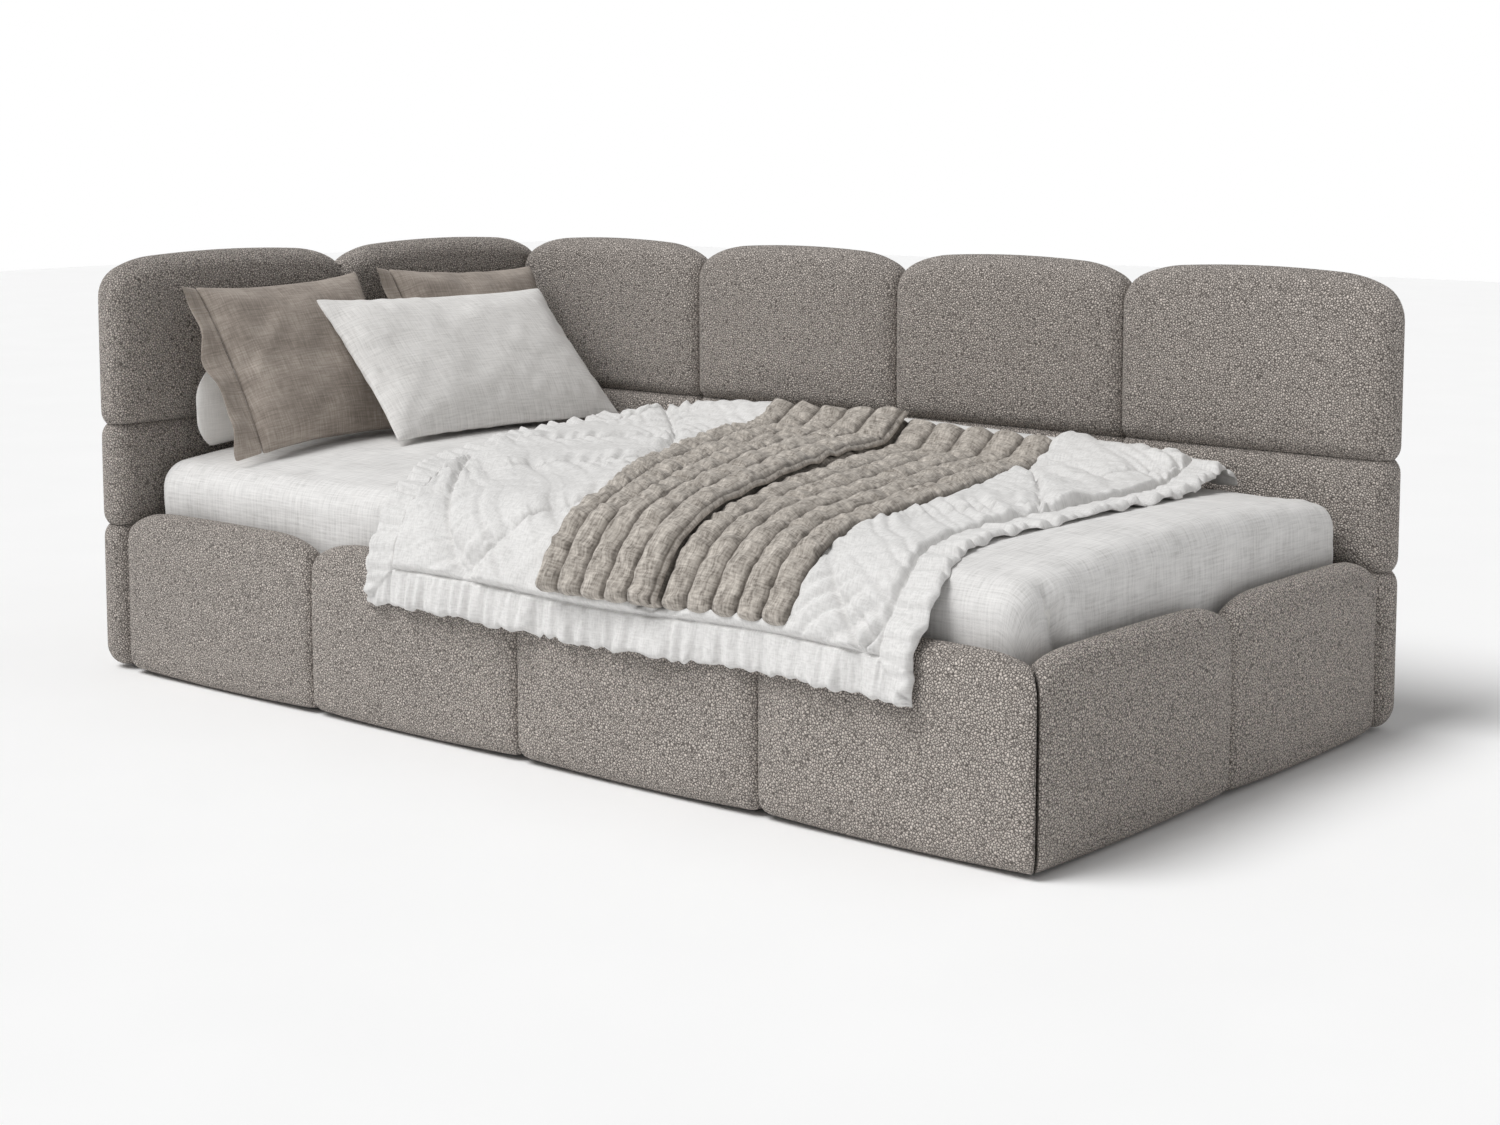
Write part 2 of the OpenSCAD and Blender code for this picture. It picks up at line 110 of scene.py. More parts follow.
def crumple(x: np.ndarray, y: np.ndarray, seed: int, layers: int = 3) -> np.ndarray:
    """Unevenness in several layers, each half the size and half the height of the one before.

    Args:
        x: first coordinate, divided by the size of the coarsest layer.
        y: second coordinate, the same.
        seed: which of many such fields to take.
        layers: how many layers.

    Returns:
        The crumple, mostly between -1 and 1.
    """
    total = np.zeros_like(x, dtype=float)
    for layer in range(layers):
        total += unevenness(x * 2**layer + 17.3 * layer, y * 2**layer, seed + layer) / 2**layer
    return total / 1.5


# ---------------------------------------------------------------- shared mesh work


def make_object(
    name: str, points: np.ndarray, faces: list, flat: np.ndarray | None = None
) -> bpy.types.Object:
    """Makes a smooth mesh object in the scene.

    Args:
        name: the piece's name.
        points: one row of x, y, z per point, in metres.
        faces: lists of point numbers.
        flat: one row per point with its place on the flat cloth, in metres, kept as the UV map.

    Returns:
        The new object, at the origin.
    """
    mesh = bpy.data.meshes.new(name)
    mesh.from_pydata(points.tolist(), [], faces)
    mesh.update()
    mesh.polygons.foreach_set("use_smooth", [True] * len(mesh.polygons))
    if flat is not None:
        corner = np.empty(len(mesh.loops), dtype=np.int64)
        mesh.loops.foreach_get("vertex_index", corner)
        mesh.uv_layers.new(name="cloth").data.foreach_set("uv", flat[corner].ravel())
    piece = bpy.data.objects.new(name, mesh)
    bpy.context.scene.collection.objects.link(piece)
    return piece


def grid_quads(rows: int, columns: int, start: int = 0, turned: bool = False) -> np.ndarray:
    """Numbers the quads of a grid of points that is stored row by row.

    Args:
        rows: points along the first direction.
        columns: points along the second direction.
        start: number of the grid's first point.
        turned: whether the quads face the other way.

    Returns:
        One row of four point numbers per quad.
    """
    number = start + np.arange(rows * columns).reshape(rows, columns)
    a, b, c, d = number[:-1, :-1], number[1:, :-1], number[1:, 1:], number[:-1, 1:]
    quads = np.stack([a, b, c, d], axis=-1).reshape(-1, 4)
    return quads[:, ::-1] if turned else quads


def closed_cloth(name: str, upper: np.ndarray, lower: np.ndarray, flat: np.ndarray) -> bpy.types.Object:
    """Closes two faces of one cloth into a solid piece.

    Args:
        name: the piece's name.
        upper: rows x columns x 3 points of the outer face.
        lower: the same for the face that lies on what is below.
        flat: rows x columns x 2 places on the flat cloth, in metres.

    Returns:
        The new object.
    """
    rows, columns = upper.shape[:2]
    count = rows * columns
    number = np.arange(count).reshape(rows, columns)
    rim = np.concatenate([number[:-1, 0], number[-1, :-1], number[:0:-1, -1], number[0, :0:-1]])
    after = np.roll(rim, -1)
    edge = np.stack([rim, after, after + count, rim + count], axis=-1)
    points = np.concatenate([upper.reshape(-1, 3), lower.reshape(-1, 3)])
    quads = np.concatenate([grid_quads(rows, columns), grid_quads(rows, columns, count, True), edge[:, ::-1]])
    return make_object(name, points, quads.tolist(), np.concatenate([flat.reshape(-1, 2)] * 2))


def cube_shell(steps: tuple[int, int, int]) -> tuple[np.ndarray, np.ndarray]:
    """The surface of a cube from -1 to 1, divided into a grid on each side.

    Args:
        steps: how many squares there are along x, y and z.

    Returns:
        The welded points, and the quads, all facing outwards.
    """
    points, quads, start = [], [], 0
    for axis in range(3):
        first, second = (axis + 1) % 3, (axis + 2) % 3
        a, b = np.linspace(-1, 1, steps[first] + 1), np.linspace(-1, 1, steps[second] + 1)
        grid_a, grid_b = np.meshgrid(a, b, indexing="ij")
        for side in (-1.0, 1.0):
            face = np.empty((len(a) * len(b), 3))
            face[:, axis], face[:, first], face[:, second] = side, grid_a.ravel(), grid_b.ravel()
            points.append(face)
            quads.append(grid_quads(len(a), len(b), start, side < 0))
            start += len(face)
    every = np.concatenate(points)
    rounded = np.round(every * 1e5).astype(np.int64)
    _, kept, place = np.unique(rounded, axis=0, return_index=True, return_inverse=True)
    return every[kept], place.reshape(-1)[np.concatenate(quads)]


def rounded_box(
    low: np.ndarray, high: np.ndarray, radius: float, spacing: float
) -> tuple[np.ndarray, np.ndarray, np.ndarray]:
    """A box with round edges and corners.

    Args:
        low: lowest corner, in metres.
        high: highest corner.
        radius: edge radius.
        spacing: distance between points.

    Returns:
        The points, the direction straight out of the box at each, and the quads.
    """
    steps = tuple(max(4, int(round(size / spacing))) for size in high - low)
    cube, quads = cube_shell(steps)
    half = (high - low) / 2
    on_box = cube * half
    core = np.clip(on_box, radius - half, half - radius)
    out = on_box - core
    out /= np.maximum(np.linalg.norm(out, axis=1, keepdims=True), 1e-9)
    return core + out * radius + (low + high) / 2, out, quads


def node_box(node: str) -> tuple[np.ndarray, np.ndarray]:
    """The lowest and highest corner of a CAD node at rest, as arrays."""
    low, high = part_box(node)
    return np.array(low), np.array(high)


# ---------------------------------------------------------------- finishes


class Recipe:
    """Builds one node material step by step."""

    def __init__(self, name: str, roughness: float, sheen: float = 0.0, metallic: float = 0.0) -> None:
        """Starts a material with its shader.

        Args:
            name: the material's name.
            roughness: the shader's roughness.
            sheen: how much soft fuzz catches the light.
            metallic: 1 for bare metal.
        """
        self.material = bpy.data.materials.new(name)
        self.material.use_nodes = True
        self.tree = self.material.node_tree
        self.tree.nodes.clear()
        self.shader = self.node("ShaderNodeBsdfPrincipled")
        self.shader.inputs["Roughness"].default_value = roughness
        self.shader.inputs["Metallic"].default_value = metallic
        self.shader.inputs["Sheen Weight"].default_value = sheen
        self.shader.inputs["Sheen Roughness"].default_value = 0.5
        self.shader.inputs["Specular IOR Level"].default_value = 0.5 if metallic else 0.25
        output = self.node("ShaderNodeOutputMaterial")
        self.tree.links.new(self.shader.outputs["BSDF"], output.inputs["Surface"])

    def node(self, kind: str, **settings: object) -> bpy.types.Node:
        """Adds a node and sets its properties."""
        made = self.tree.nodes.new(kind)
        for key, value in settings.items():
            setattr(made, key, value)
        return made

    def feed(self, node: bpy.types.Node, **inputs: object) -> None:
        """Links sockets or sets numbers on a node's inputs.

        Args:
            node: the node to feed.
            inputs: a socket or a value for each input, with _ for a space in its name.
        """
        for key, value in inputs.items():
            socket = node.inputs[key.replace("_", " ")]
            if isinstance(value, bpy.types.NodeSocket):
                self.tree.links.new(value, socket)
            else:
                socket.default_value = value

    def place(self, cloth: bool, stretch: Point = (1.0, 1.0, 1.0), turn: float = 0.0) -> bpy.types.NodeSocket:
        """Coordinates in metres, on the flat cloth or in the bed's own frame.

        Args:
            cloth: whether to follow the cloth.
            stretch: scale along each axis.
            turn: angle about the third axis, in degrees.

        Returns:
            The coordinates' socket.
        """
        source = self.node("ShaderNodeTexCoord")
        mapping = self.node("ShaderNodeMapping")
        self.feed(mapping, Vector=source.outputs["UV" if cloth else "Object"], Scale=stretch)
        mapping.inputs["Rotation"].default_value = (0.0, 0.0, math.radians(turn))
        return mapping.outputs["Vector"]

    def noise(self, place: bpy.types.NodeSocket, scale: float, detail: float = 2.0) -> bpy.types.NodeSocket:
        """Soft noise.

        Args:
            place: the coordinates.
            scale: how many features fit in a metre.
            detail: how many finer layers are added.

        Returns:
            The socket with values around a half.
        """
        made = self.node("ShaderNodeTexNoise")
        self.feed(made, Vector=place, Scale=scale, Detail=detail)
        return made.outputs["Fac"]

    def cells(self, place: bpy.types.NodeSocket, scale: float, softness: float) -> bpy.types.NodeSocket:
        """Round cells, like the curls of a looped yarn.

        Args:
            place: the coordinates.
            scale: how many cells fit in a metre.
            softness: how smoothly a cell runs into the next.

        Returns:
            The socket with the distance from the nearest cell's middle.
        """
        made = self.node("ShaderNodeTexVoronoi", feature="SMOOTH_F1")
        self.feed(made, Vector=place, Scale=scale, Smoothness=softness)
        return made.outputs["Distance"]

    def bands(self, place: bpy.types.NodeSocket, width: float) -> bpy.types.NodeSocket:
        """Even bands along the cloth.

        Args:
            place: the coordinates.
            width: width of one band, in metres.

        Returns:
            The socket that is 0 on the lines between bands and 1 in the middle of each.
        """
        made = self.node("ShaderNodeSeparateXYZ")
        self.feed(made, Vector=place)
        turned = self.node("ShaderNodeMath", operation="MULTIPLY")
        self.tree.links.new(made.outputs["X"], turned.inputs[0])
        turned.inputs[1].default_value = math.pi / width
        wave = self.node("ShaderNodeMath", operation="SINE")
        self.tree.links.new(turned.outputs[0], wave.inputs[0])
        size = self.node("ShaderNodeMath", operation="ABSOLUTE")
        self.tree.links.new(wave.outputs[0], size.inputs[0])
        return size.outputs[0]

    def edges(self, place: bpy.types.NodeSocket, scale: float) -> bpy.types.NodeSocket:
        """Cells with sharp gaps between them, like tightly set loops.

        Args:
            place: the coordinates.
            scale: how many cells fit in a metre.

        Returns:
            The socket with the distance from the nearest gap.
        """
        made = self.node("ShaderNodeTexVoronoi", feature="DISTANCE_TO_EDGE")
        self.feed(made, Vector=place, Scale=scale)
        return made.outputs["Distance"]

    def sum(self, parts: list[tuple[bpy.types.NodeSocket, float]]) -> bpy.types.NodeSocket:
        """Adds up heights, each with its own weight.

        Args:
            parts: a socket and its weight for each height.

        Returns:
            The sum's socket.
        """
        total = None
        for socket, weight in parts:
            made = self.node("ShaderNodeMath", operation="MULTIPLY_ADD")
            self.tree.links.new(socket, made.inputs[0])
            made.inputs[1].default_value = weight
            if total is None:
                made.inputs[2].default_value = 0.0
            else:
                self.tree.links.new(total, made.inputs[2])
            total = made.outputs[0]
        return total

    def tint(self, value: bpy.types.NodeSocket, stops: list[tuple[float, Colour]]) -> bpy.types.NodeSocket:
        """Turns a value into a colour.

        Args:
            value: the value's socket.
            stops: places between 0 and 1 with their colours.

        Returns:
            The colour's socket.
        """
        ramp = self.node("ShaderNodeValToRGB")
        band = ramp.color_ramp.elements
        for index, (at, colour) in enumerate(stops):
            stop = band[index] if index < 2 else band.new(at)
            stop.position = at
            stop.color = (*colour, 1.0)
        self.feed(ramp, Fac=value)
        return ramp.outputs["Color"]

    def wash(
        self, under: bpy.types.NodeSocket, over: bpy.types.NodeSocket, share: float
    ) -> bpy.types.NodeSocket:
        """Multiplies one colour with another.

        Args:
            under: the first colour.
            over: the second colour.
            share: how much of the second is used.

        Returns:
            The colour's socket.
        """
        made = self.node("ShaderNodeMix", data_type="RGBA", blend_type="MULTIPLY")
        made.inputs[0].default_value = share
        self.tree.links.new(under, made.inputs[6])
        self.tree.links.new(over, made.inputs[7])
        return made.outputs[2]

    def relief(self, height: bpy.types.NodeSocket, strength: float, depth: float) -> None:
        """Bends the surface by a height.

        Args:
            height: the height's socket.
            strength: share of the bend that is used.
            depth: how high 1 stands, in metres.
        """
        bump = self.node("ShaderNodeBump")
        self.feed(bump, Height=height, Strength=strength, Distance=depth)
        self.feed(self.shader, Normal=bump.outputs["Normal"])

    def colour(self, socket: bpy.types.NodeSocket) -> None:
        """Sends a colour to the shader."""
        self.feed(self.shader, Base_Color=socket)


@dataclass(frozen=True)
class Boucle:
    """Upholstery of small wool loops, with painted highlight on the loops, painted shade between them and
    broad patches of painted shade.
    """

    name: str = "boucle"
    # painted shade for the gaps between loops, the yarn's own colour, and painted highlight for the loop
    # crests
    shade: Colour = (0.13, 0.115, 0.103)
    body: Colour = (0.68, 0.612, 0.560)
    crest_painted_highlight: Colour = (0.89, 0.81, 0.745)
    loops_per_metre: float = 225.0

    def make(self) -> bpy.types.Material:
        """Builds the material."""
        recipe = Recipe(self.name, roughness=0.95, sheen=0.10)
        place = recipe.place(cloth=False)
        swirl = recipe.node("ShaderNodeTexNoise")
        recipe.feed(swirl, Vector=place, Scale=self.loops_per_metre * 0.55, Detail=2.0)
        bent = recipe.node("ShaderNodeVectorMath", operation="MULTIPLY_ADD")
        recipe.tree.links.new(swirl.outputs["Color"], bent.inputs[0])
        bent.inputs[1].default_value = (0.004, 0.004, 0.004)
        recipe.tree.links.new(place, bent.inputs[2])
        loops = recipe.edges(bent.outputs["Vector"], self.loops_per_metre)
        curls = recipe.cells(bent.outputs["Vector"], self.loops_per_metre * 2.2, 0.5)
        tufts = recipe.noise(place, 130.0, 2.0)
        height = recipe.sum([(loops, 1.8), (curls, -0.30), (tufts, 0.12)])
        # the colour follows the loops' relief: painted shade in the gaps between loops, painted highlight on
        # their crests
        lift = recipe.sum([(loops, 1.45), (curls, -0.12), (tufts, 0.06)])
        stops = [(0.02, self.shade), (0.22, self.body), (0.60, self.crest_painted_highlight)]
        yarn = recipe.tint(lift, stops)
        # broad patches of painted shade, up to 6% darker, laid by slow noise over the whole cover
        broad_painted_shade = recipe.tint(recipe.noise(place, 3.0, 2.0), [(0.3, (0.94, 0.94, 0.94)), (0.7, (1.0, 1.0, 1.0))])
        recipe.colour(recipe.wash(yarn, broad_painted_shade, 1.0))
        recipe.relief(height, 1.0, 0.0044)
        return recipe.material


@dataclass(frozen=True)
class Linen:
    """Plain-woven cloth with thick and thin threads in both directions."""

    name: str
    dark: Colour
    body: Colour
    light: Colour
    threads: float = 420.0
    relief: float = 0.0009
    mottle: float = 0.5

    def make(self) -> bpy.types.Material:
        """Builds the material."""
        recipe = Recipe(self.name, roughness=0.88, sheen=0.12)
        weft = recipe.noise(recipe.place(True, (0.07, 1.0, 1.0)), self.threads, 3.0)
        warp = recipe.noise(recipe.place(True, (1.0, 0.07, 1.0)), self.threads, 3.0)
        fine = recipe.noise(recipe.place(True), self.threads * 2.2, 1.0)
        broad = recipe.noise(recipe.place(True, (1.0, 1.7, 1.0)), 9.0, 4.0)
        weave = recipe.sum([(weft, 0.5), (warp, 0.5)])
        tone = recipe.sum([(weave, 1.0 - self.mottle * 0.5), (fine, 0.12), (broad, self.mottle * 0.5)])
        stops = [(0.36, self.dark), (0.55, self.body), (0.74, self.light)]
        recipe.colour(recipe.tint(tone, stops))
        recipe.relief(recipe.sum([(weave, 1.0), (fine, 0.5)]), 0.8, self.relief)
        return recipe.material


@dataclass(frozen=True)
class CrinkledCotton:
    """Washed cotton with a dense fine crinkle, and painted shade along the channel lines when a channel width
    is given.
    """

    name: str
    dark: Colour
    body: Colour
    light: Colour
    crinkle: float = 0.0030
    # width of the channels whose lines get painted shade, 0 for none
    channel: float = 0.0
    mottle: float = 0.5
    drawn: float = 1.0

    def make(self) -> bpy.types.Material:
        """Builds the material."""
        recipe = Recipe(self.name, roughness=0.9, sheen=0.15)
        folds = recipe.noise(recipe.place(True, (1.0, self.drawn, 1.0), 0.6), 70.0, 3.0)
        grain = recipe.noise(recipe.place(True, (0.2, 1.0, 1.0)), 330.0, 2.0)
        cross = recipe.noise(recipe.place(True, (1.0, 0.2, 1.0)), 330.0, 2.0)
        fine = 0.5 - self.mottle / 2
        tone = recipe.sum([(folds, self.mottle), (grain, fine), (cross, fine)])
        stops = [(0.38, self.dark), (0.53, self.body), (0.68, self.light)]
        cloth = recipe.tint(tone, stops)
        if self.channel:
            # painted shade darkens the lines between the channels, where the throw's deep grooves fall in
            # shade
            bands = recipe.bands(recipe.place(True, (1.0, 0.0, 0.0)), self.channel)
            channel_painted_shade = recipe.tint(bands, [(0.0, (0.24, 0.225, 0.21)), (0.42, (1.0, 1.0, 1.0))])
            cloth = recipe.wash(cloth, channel_painted_shade, 1.0)
        recipe.colour(cloth)
        recipe.relief(recipe.sum([(folds, 1.0), (grain, 0.12), (cross, 0.12)]), 0.7, self.crinkle)
        return recipe.material


@dataclass(frozen=True)
class Timber:
    """Planed wood whose grain runs along one axis of the bed."""

    name: str
    dark: Colour
    light: Colour
    grain: Point

    def make(self) -> bpy.types.Material:
        """Builds the material."""
        recipe = Recipe(self.name, roughness=0.6)
        rings = recipe.noise(recipe.place(False, self.grain), 42.0, 4.0)
        pores = recipe.noise(recipe.place(False, self.grain), 210.0, 2.0)
        tone = recipe.sum([(rings, 0.8), (pores, 0.2)])
        recipe.colour(recipe.tint(tone, [(0.35, self.dark), (0.65, self.light)]))
        recipe.relief(pores, 0.3, 0.0006)
        return recipe.material


@dataclass(frozen=True)
class LinedBoard:
    """Board wrapped in a plain grey-brown lining cloth, stapled under the pads."""

    name: str = "lined_board"
    dark: Colour = (0.10, 0.088, 0.078)
    light: Colour = (0.24, 0.215, 0.195)

    def make(self) -> bpy.types.Material:
        """Builds the material."""
        recipe = Recipe(self.name, roughness=0.92, sheen=0.08)
        weft = recipe.noise(recipe.place(False, (0.10, 1.0, 1.0)), 900.0)
        warp = recipe.noise(recipe.place(False, (1.0, 1.0, 0.10)), 900.0)
        fluff = recipe.noise(recipe.place(False), 40.0, 3.0)
        tone = recipe.sum([(weft, 0.4), (warp, 0.4), (fluff, 0.3)])
        recipe.colour(recipe.tint(tone, [(0.35, self.dark), (0.75, self.light)]))
        recipe.relief(recipe.sum([(weft, 0.5), (warp, 0.5)]), 0.5, 0.0006)
        return recipe.material


@dataclass(frozen=True)
class MouldedPlastic:
    """Fine-grained black plastic."""

    name: str = "moulded_plastic"
    dark: Colour = (0.012, 0.012, 0.013)
    light: Colour = (0.03, 0.03, 0.032)

    def make(self) -> bpy.types.Material:
        """Builds the material."""
        recipe = Recipe(self.name, roughness=0.55)
        grain = recipe.noise(recipe.place(False), 900.0, 2.0)
        recipe.colour(recipe.tint(grain, [(0.3, self.dark), (0.7, self.light)]))
        recipe.relief(grain, 0.3, 0.0003)
        return recipe.material


@dataclass(frozen=True)
class ZincedSteel:
    """Sheet steel with the faint crystals of a zinc coat."""

    name: str = "zinced_steel"
    dark: Colour = (0.42, 0.43, 0.45)
    light: Colour = (0.66, 0.67, 0.69)

    def make(self) -> bpy.types.Material:
        """Builds the material."""
        recipe = Recipe(self.name, roughness=0.38, metallic=1.0)
        place = recipe.place(False)
        crystals = recipe.cells(place, 120.0, 0.1)
        scuffs = recipe.noise(place, 300.0, 4.0)
        tone = recipe.sum([(crystals, 0.6), (scuffs, 0.5)])
        recipe.colour(recipe.tint(tone, [(0.2, self.light), (0.8, self.dark)]))
        recipe.relief(scuffs, 0.15, 0.0003)
        return recipe.material


# ---------------------------------------------------------------- upholstery


@dataclass
class Tuck:
    """Flattens the part of a pad that would pass through a board against the board's outer face."""

    axis: int
    limit: float
    keep_below: bool
    low: Point
    high: Point

    def press(self, points: np.ndarray) -> None:
        """Moves the points inside the tuck's room onto its limit.

        Args:
            points: the pad's points, changed in place.
        """
        inside = np.all((points > np.array(self.low)) & (points < np.array(self.high)), axis=1)
        column = points[:, self.axis]
        beyond = column > self.limit if self.keep_below else column < self.limit
        column[inside & beyond] = self.limit


@dataclass
class Pad:
    """One stuffed pad: a soft block with rolled edges, pressed flat where it meets its neighbours."""

    node: str
    low: np.ndarray
    high: np.ndarray
    across: int
    radius: float
    crown: float = 0.0
    shoulder: float = 0.0
    belly: float = 0.0
    heel: float = 0.0
    pressed_low: tuple[bool, bool, bool] = (False, False, False)
    pressed_high: tuple[bool, bool, bool] = (False, False, False)
    tucks: list[Tuck] = field(default_factory=list)
    squeeze: float = 0.0095
    puff: float = 0.012
    fall: float = 0.11
    spacing: float = 0.0085

    def build(self, seed: int) -> bpy.types.Object:
        """Builds the pad's mesh.

        Args:
            seed: which unevenness the stuffing has.

        Returns:
            The pad.
        """
        low = self.low - self.squeeze * np.array(self.pressed_low, dtype=float)
        high = self.high + self.squeeze * np.array(self.pressed_high, dtype=float)
        low[self.across] += self.puff
        high[self.across] -= self.puff
        points, out, quads = rounded_box(low, high, self.radius, self.spacing)
        middle, half = (low + high) / 2, (high - low) / 2
        along = 1 - self.across if self.across < 2 else 0
        s = (points[:, along] - middle[along]) / half[along]
        t = (points[:, 2] - middle[2]) / half[2]
        near_s = np.clip((1 - np.abs(s)) * half[along] / self.fall, 0, 1)
        near_t = np.clip((1 - np.abs(t)) * half[2] / self.fall, 0, 1)
        swell = (1 - (1 - near_s) ** 2) * (1 - (1 - near_t) ** 2)
        lumps = 0.0012 * crumple(points[:, along] / 0.16, points[:, 2] / 0.16, seed)
        facing = out[:, self.across]
        points[:, self.across] += np.sign(facing) * np.abs(facing) * (self.puff * swell + lumps)
        from_end = (1 - np.abs(s)) * half[along]
        points[:, 2] -= self.round_off(s, from_end, self.crown, self.shoulder, 2.4) * ease(-0.4, 0.9, t)
        points[:, 2] += self.round_off(s, from_end, self.belly, self.heel, 1.5) * ease(0.4, -0.9, t)
        points = self.press_neighbours(points)
        for tuck in self.tucks:
            tuck.press(points)
        pad = make_object(f"{self.node}_cover", points, quads.tolist())
        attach(pad, ROOT)
        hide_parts(self.node)
        return pad

    def round_off(
        self, s: np.ndarray, from_end: np.ndarray, arch: float, corner: float, long: float
    ) -> np.ndarray:
        """How far the pad's upper or lower edge draws back from its middle: a flat arch with round corners.

        Args:
            s: share of the pad's length, from -1 to 1.
            from_end: distance from the nearer end.
            arch: height of the arch.
            corner: height of the round corners, or 0.
            long: how many times longer than high the corners are.

        Returns:
            The distance for each point.
        """
        short = np.clip(1 - from_end / max(corner * long, 1e-6), 0, 1)
        return arch * s**2 + corner * (1 - np.sqrt(1 - short**2))

    def press_neighbours(self, points: np.ndarray) -> np.ndarray:
        """Keeps the pad on its own side of each seam.

        Args:
            points: the pad's points.

        Returns:
            The points, none past a seam.
        """
        far = 10.0
        low = np.where(self.pressed_low, self.low, -far)
        high = np.where(self.pressed_high, self.high, far)
        return np.clip(points, low, high)


@dataclass
class Upholstery:
    """All pads of the headboard, the back panel and the two rails."""

    cloth: bpy.types.Material
    panel_radius: float = 0.034
    rail_radius: float = 0.0235
    top_crown: float = 0.016
    rail_crown: float = 0.004
    shoulder: float = 0.050
    belly: float = 0.006
    heel: float = 0.018
    slit: float = 0.004
    rail_puff: float = 0.009
    rail_squeeze: float = 0.006
    far: float = 5.0

    def __post_init__(self) -> None:
        """Reads the boards that the pads are pressed against."""
        self.head_board = node_box("headboard_board")
        self.back_board = node_box("back_panel_board")
        self.front_board = node_box("front_rail_board")
        self.foot_board = node_box("foot_rail_board")
        self.seed = 0

    def dress(self, pad: Pad) -> None:
        """Builds one pad and gives it the upholstery cloth."""
        self.seed += 7
        piece = pad.build(self.seed)
        piece.data.materials.append(self.cloth)
        LOG.info("pad %s: %d faces", piece.name, len(piece.data.polygons))

    def silhouette(self, row: int) -> dict[str, float]:
        """How the upper or lower edge of a panel pad is rounded off.

        Args:
            row: the pad's row, from 1 at the bottom to 3 at the top.

        Returns:
            The pad's fields for that edge, by name.
        """
        if row == 3:
            return {"crown": self.top_crown, "shoulder": self.shoulder}
        if row == 1:
            return {"belly": self.belly, "heel": self.heel}
        return {}

    def headboard(self) -> None:
        """The headboard's pads, in three rows and two columns."""
        inner_face = self.head_board[0][0]
        front_y, back_y = self.front_board[1][1], self.back_board[0][1]
        for row in (1, 2, 3):
            for column in "ab":
                low, high = node_box(f"headboard_pad_3{column}")
                own_low, own_high = node_box(f"headboard_pad_{row}{column}")
                low[2], high[2] = own_low[2], own_high[2]
                room = Tuck(0, inner_face, True, (-self.far, front_y, -1.0),
                            (self.far, back_y, own_high[2] + 0.001))
                self.dress(Pad(
                    node=f"headboard_pad_{row}{column}", low=low, high=high, across=0,
                    radius=self.panel_radius, **self.silhouette(row),
                    pressed_low=(False, column == "b", row > 1),
                    pressed_high=(False, column == "a", row < 3), tucks=[room] if row == 1 else []))

    def back_panel(self) -> None:
        """The back panel's pads, in three rows and four columns."""
        outer_face = self.back_board[1][1]
        board_end = self.back_board[1][0]
        for row in (1, 2, 3):
            for column in "abcd":
                low, high = node_box(f"back_pad_3{column}")
                own_low, own_high = node_box(f"back_pad_{row}{column}")
                low[2], high[2] = own_low[2], own_high[2]
                room = Tuck(1, outer_face, False, (-self.far, -self.far, -1.0),
                            (board_end, self.far, own_high[2] + 0.001))
                self.dress(Pad(
                    node=f"back_pad_{row}{column}", low=low, high=high, across=1, radius=self.panel_radius,
                    **self.silhouette(row), pressed_low=(True, False, row > 1),
                    pressed_high=(column != "d", False, row < 3), tucks=[room] if row == 1 else []))

    def front_rail(self) -> None:
        """The front rail's four pads; the last one ends in the corner slit."""
        board_low, board_high = self.front_board
        room = Tuck(1, board_low[1], True, (-self.far, -self.far, -1.0),
                    (board_high[0], self.far, board_high[2]))
        for column in "abcd":
            low, high = node_box(f"front_rail_pad_{column}")
            self.dress(Pad(
                node=f"front_rail_pad_{column}", low=low, high=high, across=1, radius=self.rail_radius,
                crown=self.rail_crown, shoulder=self.shoulder, belly=self.belly, heel=self.heel,
                puff=self.rail_puff, squeeze=self.rail_squeeze,
                pressed_low=(True, False, False), pressed_high=(True, False, False), tucks=[room]))
            if column == "d":
                self.mitre(f"front_rail_pad_{column}_cover", 0)

    def foot_rail(self) -> None:
        """The foot rail's two pads; the first one starts in the corner slit."""
        board_low, board_high = self.foot_board
        room = Tuck(0, board_high[0], False, (-self.far, board_low[1], -1.0),
                    (self.far, board_high[1], board_high[2]))
        for column in "ab":
            low, high = node_box(f"foot_rail_pad_{column}")
            self.dress(Pad(
                node=f"foot_rail_pad_{column}", low=low, high=high, across=0, radius=self.rail_radius,
                crown=self.rail_crown, shoulder=self.shoulder, belly=self.belly, heel=self.heel,
                puff=self.rail_puff, squeeze=self.rail_squeeze,
                pressed_low=(False, True, False), pressed_high=(False, True, False), tucks=[room]))
            if column == "a":
                self.mitre(f"foot_rail_pad_{column}_cover", 1)

    def mitre(self, name: str, axis: int) -> None:
        """Presses a corner pad flat along the slanting seam between the two rails.

        Args:
            name: the pad to press.
            axis: the axis along which its points move back to the seam.
        """
        corner_x = node_box("foot_rail_pad_a")[1][0]
        corner_y = node_box("front_rail_pad_d")[0][1]
        mesh = bpy.data.objects[name].data
        points = np.empty(len(mesh.vertices) * 3)
        mesh.vertices.foreach_get("co", points)
        points = points.reshape(-1, 3)
        if axis == 0:
            points[:, 0] = np.minimum(points[:, 0], corner_x - (points[:, 1] - corner_y) - self.slit)
        else:
            points[:, 1] = np.maximum(points[:, 1], corner_y + (corner_x - points[:, 0]) + self.slit)
        mesh.vertices.foreach_set("co", points.ravel())
        mesh.update()

    def build(self) -> None:
        """Builds every pad."""
        self.headboard()
        self.back_panel()
        self.front_rail()
        self.foot_rail()


# ---------------------------------------------------------------- mattress and bedding


